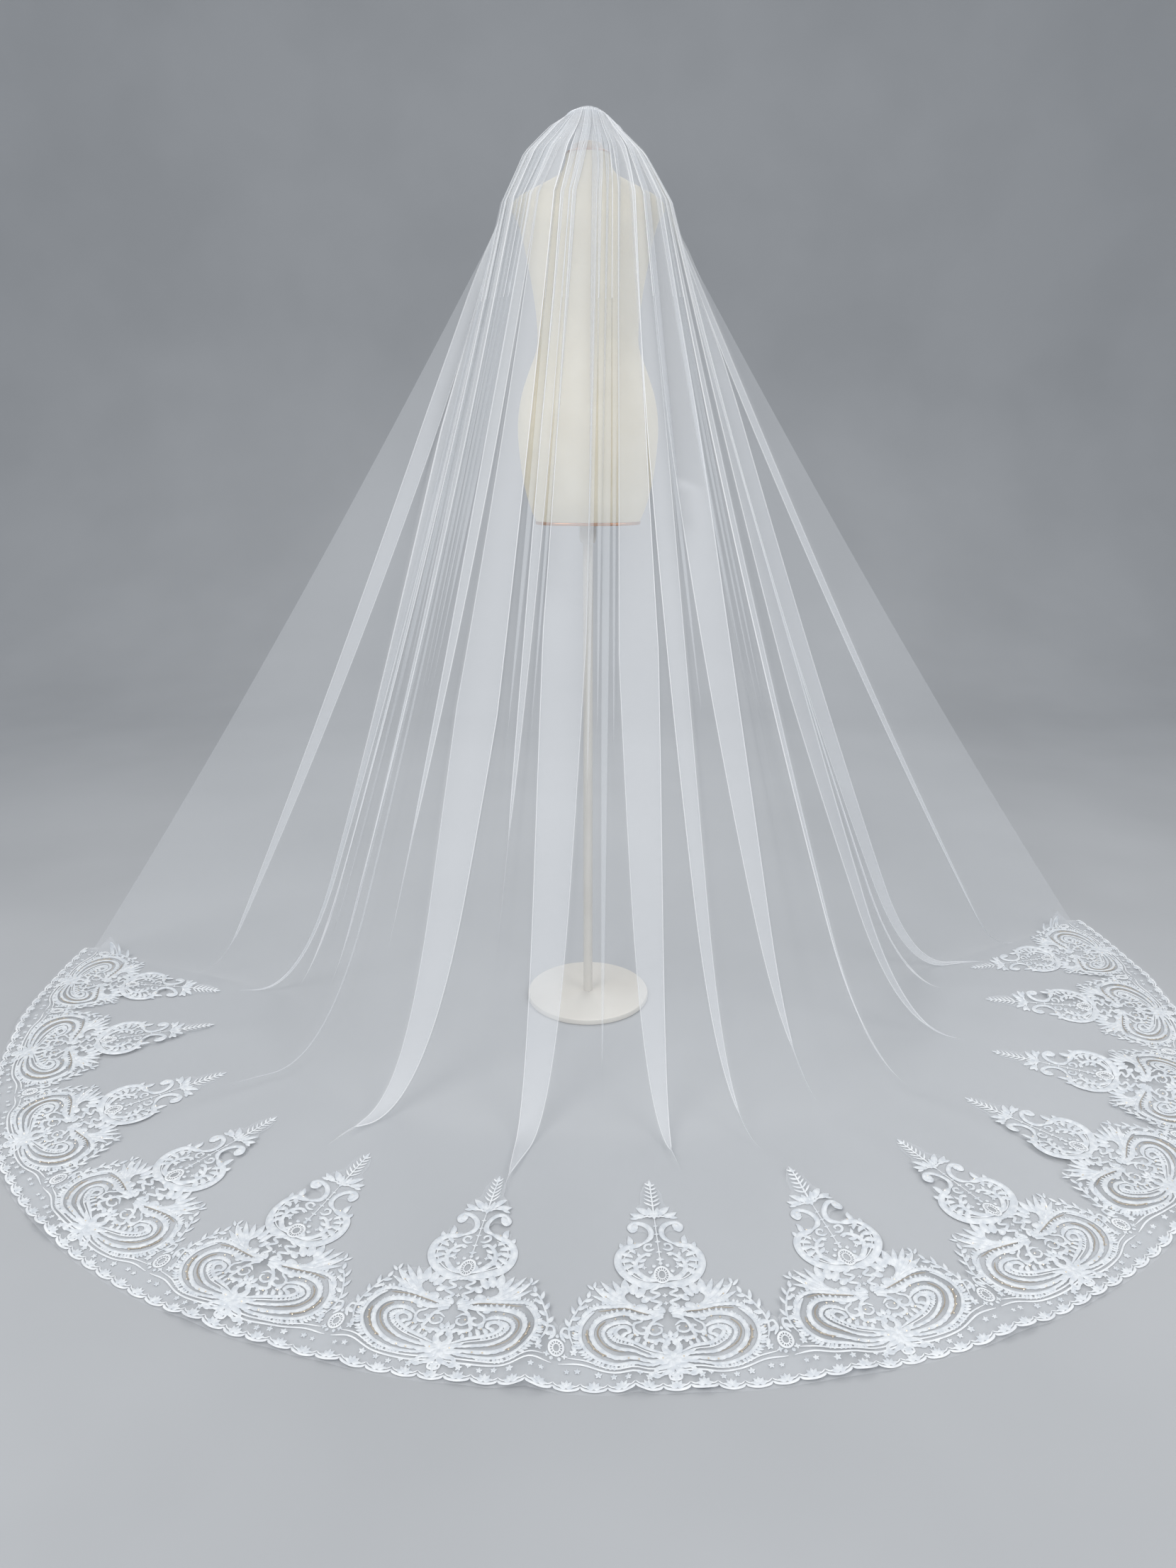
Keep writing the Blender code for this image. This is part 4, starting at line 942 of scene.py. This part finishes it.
def onto_veil(plan, up):
    """Puts flat points on the veil, up above it: their distance in from the hem is measured along the cloth.

    A table holds that distance for stages from the hem up into the fall, at even bearings, and is read between
    them.
    """
    radius = np.linalg.norm(plan, axis=1)
    bearing = np.clip(np.arctan2(plan[:, 0], -plan[:, 1]), EDGE_LEFT, EDGE_RIGHT)
    inwards = hem_reach(bearing) - radius
    grid_b = np.linspace(EDGE_LEFT, EDGE_RIGHT, VEIL_COLUMNS)
    grid_s = np.concatenate([np.linspace(3, 2, 12)[:-1], np.linspace(2, 1.3, 110)])
    surface = smooth_cloth(*np.broadcast_arrays(grid_b[:, None], grid_b[:, None], grid_s[None]))
    steps = np.linalg.norm(np.diff(surface, axis=1), axis=-1)
    lengths = np.concatenate([np.zeros((VEIL_COLUMNS, 1)), np.cumsum(steps, axis=1)], axis=1)
    place = (bearing - EDGE_LEFT) / (EDGE_RIGHT - EDGE_LEFT) * (VEIL_COLUMNS - 1)
    low = np.minimum(place.astype(int), VEIL_COLUMNS - 2)
    share = (place - low)[:, None]
    table = lengths[low] * (1 - share) + lengths[low + 1] * share
    index = np.clip((table < inwards[:, None]).sum(1) - 1, 0, len(grid_s) - 2)
    row = np.arange(len(index))
    part = (inwards - table[row, index]) / (table[row, index + 1] - table[row, index])
    stage = np.minimum(grid_s[index] + (grid_s[index + 1] - grid_s[index]) * part, 3)
    here, normal, _ = cloth_frame(bearing, bearing, stage)
    beyond = np.minimum(inwards, 0)[:, None] * np.stack([np.sin(bearing), -np.cos(bearing), 0 * bearing], -1)
    return here - beyond + normal * (up + ripple(bearing, stage))[:, None]


def ground_mesh(width):
    """The net ground of a repeat: its outline filled with triangles of about 12 mm, in millimetres."""
    half = width * 500
    pitch = 2 * half / SCALLOPS
    outline = [(-half + pitch * (k + f), 8 - 7.5 * math.sin(math.pi * f)) for k in range(SCALLOPS)
               for f in (0, 0.2, 0.5, 0.8)]
    outline += [(half, 8), (half, 60)] + [(min(x, half), y) for x, y in GROUND_OUTLINE] + [(0, 510)]
    outline += [(-min(x, half), y) for x, y in GROUND_OUTLINE[::-1]] + [(-half, 60)]
    inner = [(x, y) for x in np.arange(-half + 9, half, 12) for y in np.arange(14, 508, 12)]
    points = [Vector(p) for p in outline + inner]
    edges = [(k, (k + 1) % len(outline)) for k in range(len(outline))]
    flat, _, cells, _, _, _ = delaunay_2d_cdt(points, edges, [list(range(len(outline)))], 1, 1e-6)
    return np.array([(*p, 0.0) for p in flat]), cells


def crystal_mesh(start):
    """The crystals of a repeat as low cones: points in millimetres, and triangles numbered from start."""
    gems = np.array([(across * side, inwards) for across, inwards in CRYSTALS for side in (1, -1)], float)
    angle = np.arange(CRYSTAL_SIDES) * 2 * math.pi / CRYSTAL_SIDES
    x = gems[:, :1] + CRYSTAL_RADIUS * np.cos(angle)
    y = gems[:, 1:] + CRYSTAL_RADIUS * np.sin(angle)
    rim = np.stack([x, y, np.full(x.shape, CRYSTAL_RIM)], -1)
    tip = np.column_stack([gems, np.full(len(gems), CRYSTAL_TIP)])
    base = start + np.arange(len(gems)) * CRYSTAL_SIDES
    tips = start + len(gems) * CRYSTAL_SIDES + np.arange(len(gems))
    sides = [np.stack([base + k, base + (k + 1) % CRYSTAL_SIDES, tips], -1) for k in range(CRYSTAL_SIDES)]
    return np.concatenate([rim.reshape(-1, 3), tip]), np.concatenate(sides)


def lay_on_hem(points, lift, index, end, track, pitch):
    """Puts a repeat's flat points on the veil at its place along the hem, lifted off the tulle."""
    flat = points * 0.001
    leaning = lean_inwards(flat[:, 0], flat[:, 1], pitch, end)
    plan = onto_floor(leaning, flat[:, 1], (index + 0.5) * pitch, track, pitch)
    return onto_veil(plan, flat[:, 2] + lift)


def build_lace(looks):
    """The border's repeats: cords, satin stitch, grey-brown threads of painted shade and crystals as one piece,
    on a net ground.
    """
    track = hem_track()
    pitch = track[0][-1] / REPEATS
    ground, cells = ground_mesh(pitch)
    made = []
    for index in range(REPEATS):
        end = -1 if index == 0 else 1 if index == REPEATS - 1 else 0
        threads = motif_strokes(pitch, end)
        sizes = [sum(len(faces) for _, faces in threads[kind]) for kind in LACE_THREADS]
        points, quads = merge([piece for kind in LACE_THREADS for piece in threads[kind]])
        crystals, triangles = crystal_mesh(len(points))
        finish = np.repeat(range(len(LACE_THREADS) + 1), sizes + [len(triangles)])
        placed = lay_on_hem(np.concatenate([points, crystals]), LACE_LIFT, index, end, track, pitch)
        finishes = [looks[kind] for kind in LACE_THREADS] + [looks["crystal"]]
        faces = quads.tolist() + triangles.tolist()
        lace = add_mesh(f"lace_border_{index + 1:02d}", placed, faces, finishes, finish)
        lace.data.polygons.foreach_set("use_smooth", finish < len(LACE_THREADS))
        lace.data.update()
        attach(lace, "root")
        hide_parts(f"lace_repeat_{index + 1:02d}")
        placed = lay_on_hem(ground, GROUND_LIFT, index, end, track, pitch)
        net = add_mesh(f"net_ground_{index + 1:02d}", placed, cells, [looks["ground"]])
        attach(net, "root")
        made += [lace, net]
    return made


def smooth_column(heights, values, at):
    """A smooth curve through a table's values by cubic Hermite steps with averaged slopes."""
    slope = np.gradient(values, heights)
    index = np.clip(np.searchsorted(heights, at) - 1, 0, len(heights) - 2)
    step = heights[index + 1] - heights[index]
    t = (at - heights[index]) / step
    return (values[index] * (2 * t**3 - 3 * t**2 + 1) + slope[index] * step * (t**3 - 2 * t**2 + t)
            + values[index + 1] * (3 * t**2 - 2 * t**3) + slope[index + 1] * step * (t**3 - t**2))


def lathe(name, profile, finish):
    """A turned piece: a profile of (radius, height) carried round the axis, closed at both ends on the axis."""
    profile = np.array([(ON_AXIS, profile[0][1])] + profile + [(ON_AXIS, profile[-1][1])])
    radius = profile[None, :, 0]
    angle = np.arange(LATHE_SIDES)[:, None] * 2 * math.pi / LATHE_SIDES
    heights = np.broadcast_to(profile[:, 1], (LATHE_SIDES, len(profile)))
    points = np.stack([radius * np.sin(angle), -radius * np.cos(angle), heights], -1)
    thing = grid_object(name, points, True, [finish], flipped=True)
    thing.data.set_sharp_from_angle(angle=math.radians(35))
    return thing


def section(half, back, front, angle, grow=0.0):
    """Points round a section: half superellipses, deeper at the back or the front."""
    power = 2 / SQUARENESS
    x = (half + grow) * np.sign(np.sin(angle)) * np.abs(np.sin(angle)) ** power
    depth = np.where(np.cos(angle) > 0, back, front) + grow
    return x, -depth * np.sign(np.cos(angle)) * np.abs(np.cos(angle)) ** power


def build_form(looks):
    """The covered torso through smooth sections, and the metal bands under it and round its neck."""
    heights, halves, backs, fronts = np.array(TORSO).T
    at = np.linspace(heights[0], heights[-1], TORSO_ROWS)
    angle = np.linspace(0, 2 * math.pi, TORSO_SIDES + 1)[:-1, None]
    half, back, front = (smooth_column(heights, values, at)[None] for values in (halves, backs, fronts))
    x, y = section(half, back, front, angle)
    points = np.stack([x, y, np.broadcast_to(at, x.shape)], -1)
    torso = grid_object("dress_form_cover", points, True, [looks["jersey"]], flipped=True)
    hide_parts("form_torso")
    pieces = [torso]
    for name, node, low, high, row, grow in BANDS:
        _, half, back, front = TORSO[row]
        rise = np.array([low, low, low + BAND_EDGE, high - BAND_EDGE, high, high])
        out = np.array([-BAND_DEPTH, grow - BAND_EDGE, grow, grow, grow - BAND_EDGE, -BAND_DEPTH])
        x, y = section(half, back, front, angle, out[None])
        points = np.stack([x, y, np.broadcast_to(rise, x.shape)], -1)
        band = grid_object(name, points, True, [looks["copper"]], flipped=True)
        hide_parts(node)
        pieces.append(band)
    return pieces


def build_stand(looks):
    """Base, pole, collar and neck cap, all turned."""
    made = []
    for name, node, finish, slot, profile in TURNED:
        piece = lathe(name, profile, looks[finish])
        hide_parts(node)
        made.append(piece)
    return made


def build_comb(looks):
    """The comb: a straight wire rail, and round teeth that hang from it and narrow at their tips."""
    low, high = (np.array(corner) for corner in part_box("comb"))
    angle = np.arange(WIRE_SIDES)[:, None] * 2 * math.pi / WIRE_SIDES
    heights = np.linspace(low[2] + 0.0002, high[2] - 0.002, TOOTH_ROWS) + 0 * angle
    thick = WIRE_RADIUS * np.array([0.35, 0.9, 1, 1, 1, 1])
    pieces = []
    for x in np.linspace(low[0] + 0.0013, high[0] - 0.0013, TEETH):
        tooth = np.stack([x + thick * np.cos(angle), thick * np.sin(angle), heights], -1)
        pieces.append((tooth.reshape(-1, 3), grid_faces(WIRE_SIDES, TOOTH_ROWS, True)[:, ::-1]))
    flat = np.zeros((WIRE_SIDES, RAIL_ROWS))
    rail = np.stack([flat + np.linspace(low[0], high[0], RAIL_ROWS), flat + WIRE_RADIUS * np.cos(angle),
                     flat + high[2] - 0.0012 + WIRE_RADIUS * np.sin(angle)], -1)
    pieces.append((rail.reshape(-1, 3), grid_faces(WIRE_SIDES, RAIL_ROWS, True)))
    points, faces = merge(pieces)
    comb = add_mesh("wire_comb", points, faces.tolist(), [looks["wire"]])
    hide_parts("comb")
    return comb


def build_heading(looks):
    """The bound heading: a padded roll inside the gathers, its sides creased by a cosine, its ends closed."""
    low, high = (np.array(corner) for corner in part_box("heading"))
    middle = (low + high) / 2
    angle = np.linspace(0, 2 * math.pi, HEADING_SIDES + 1)[:-1, None]
    share = np.linspace(-1, 1, HEADING_ROWS)
    swell = (1 - np.abs(share) ** 3 * 0.35) * np.interp(share, [-1, 1], [1.0, 0.62])
    crease = 1 - 0.02 * (1 - np.cos(angle * HEADING_CREASES)) * (1 - share**2)
    reach = (high - low) / 2 * np.array([0.84, 0.9, 1.0]) - 0.0005
    x = middle[0] + reach[0] * np.sin(angle) * swell * crease
    y = middle[1] - reach[1] * np.cos(angle) * swell * crease
    z = middle[2] + reach[2] * np.broadcast_to(share, x.shape)
    points = np.stack([x, y, z], -1)
    ends = []
    for row in (0, HEADING_ROWS - 1):
        centre = np.array([middle[0], middle[1], z[0, row]])
        ends.append(centre + (points[:, row:row + 1] - centre) * 1e-3)
    points = np.concatenate([ends[0], points, ends[1]], axis=1)
    heading = grid_object("satin_heading", points, True, [looks["binding"]], flipped=True)
    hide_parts("heading")
    return heading


def build_studio(looks):
    """Floor and backdrop as one sweep, soft area lights, a plain world and the photograph's camera."""
    bend = np.linspace(0, math.pi / 2, 24)
    sweep = np.stack([BACKDROP_AT + BACKDROP_BEND * np.sin(bend), BACKDROP_BEND * (1 - np.cos(bend))], -1)
    profile = np.concatenate([[(-9.0, 0.0), (0.0, 0.0)], sweep, [(BACKDROP_AT + BACKDROP_BEND, 9.0)]])
    across, along = np.broadcast_arrays(np.linspace(-12, 12, 9)[:, None], profile[None, :, 0])
    points = np.stack([across, along, np.broadcast_to(profile[:, 1], along.shape)], -1)
    grid_object("studio_floor", points, False, [looks["floor"]], flipped=True)
    scene = bpy.context.scene
    scene.world = bpy.data.worlds.new("studio light")
    scene.world.use_nodes = True
    background = scene.world.node_tree.nodes["Background"]
    background.inputs["Color"].default_value = colour("#E9EDF2")
    background.inputs["Strength"].default_value = 0.55
    for name, place, size, power in LIGHTS:
        lamp = bpy.data.lights.new(name, "AREA")
        lamp.size = size
        lamp.energy = power
        lamp.color = colour("#FFFDFA")[:3]
        thing = add_object(name, lamp)
        thing.location = place
        thing.rotation_euler = (Vector(LIT_PLACE) - Vector(place)).to_track_quat("-Z", "Y").to_euler()
    lens = bpy.data.cameras.new("photograph's camera")
    lens.sensor_width = SENSOR
    lens.lens = FOCAL / LONG_SIDE * SENSOR
    camera = add_object("photograph's camera", lens)
    camera.location = CAMERA
    camera.rotation_euler = (math.pi / 2 - TILT, 0, 0)
    scene.camera = camera
    scene.view_settings.view_transform = "Standard"
    scene.cycles.transparent_max_bounces = 64


def main():
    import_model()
    looks = make_materials()
    tulle = build_tulle(looks)
    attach(tulle, "root")
    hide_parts("tulle_left_edge", "tulle_left", "tulle_middle", "tulle_right", "tulle_right_edge")
    lace = build_lace(looks)
    for piece in build_form(looks) + build_stand(looks) + [build_comb(looks), build_heading(looks)]:
        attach(piece, "root")
    build_studio(looks)
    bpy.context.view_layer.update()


main()
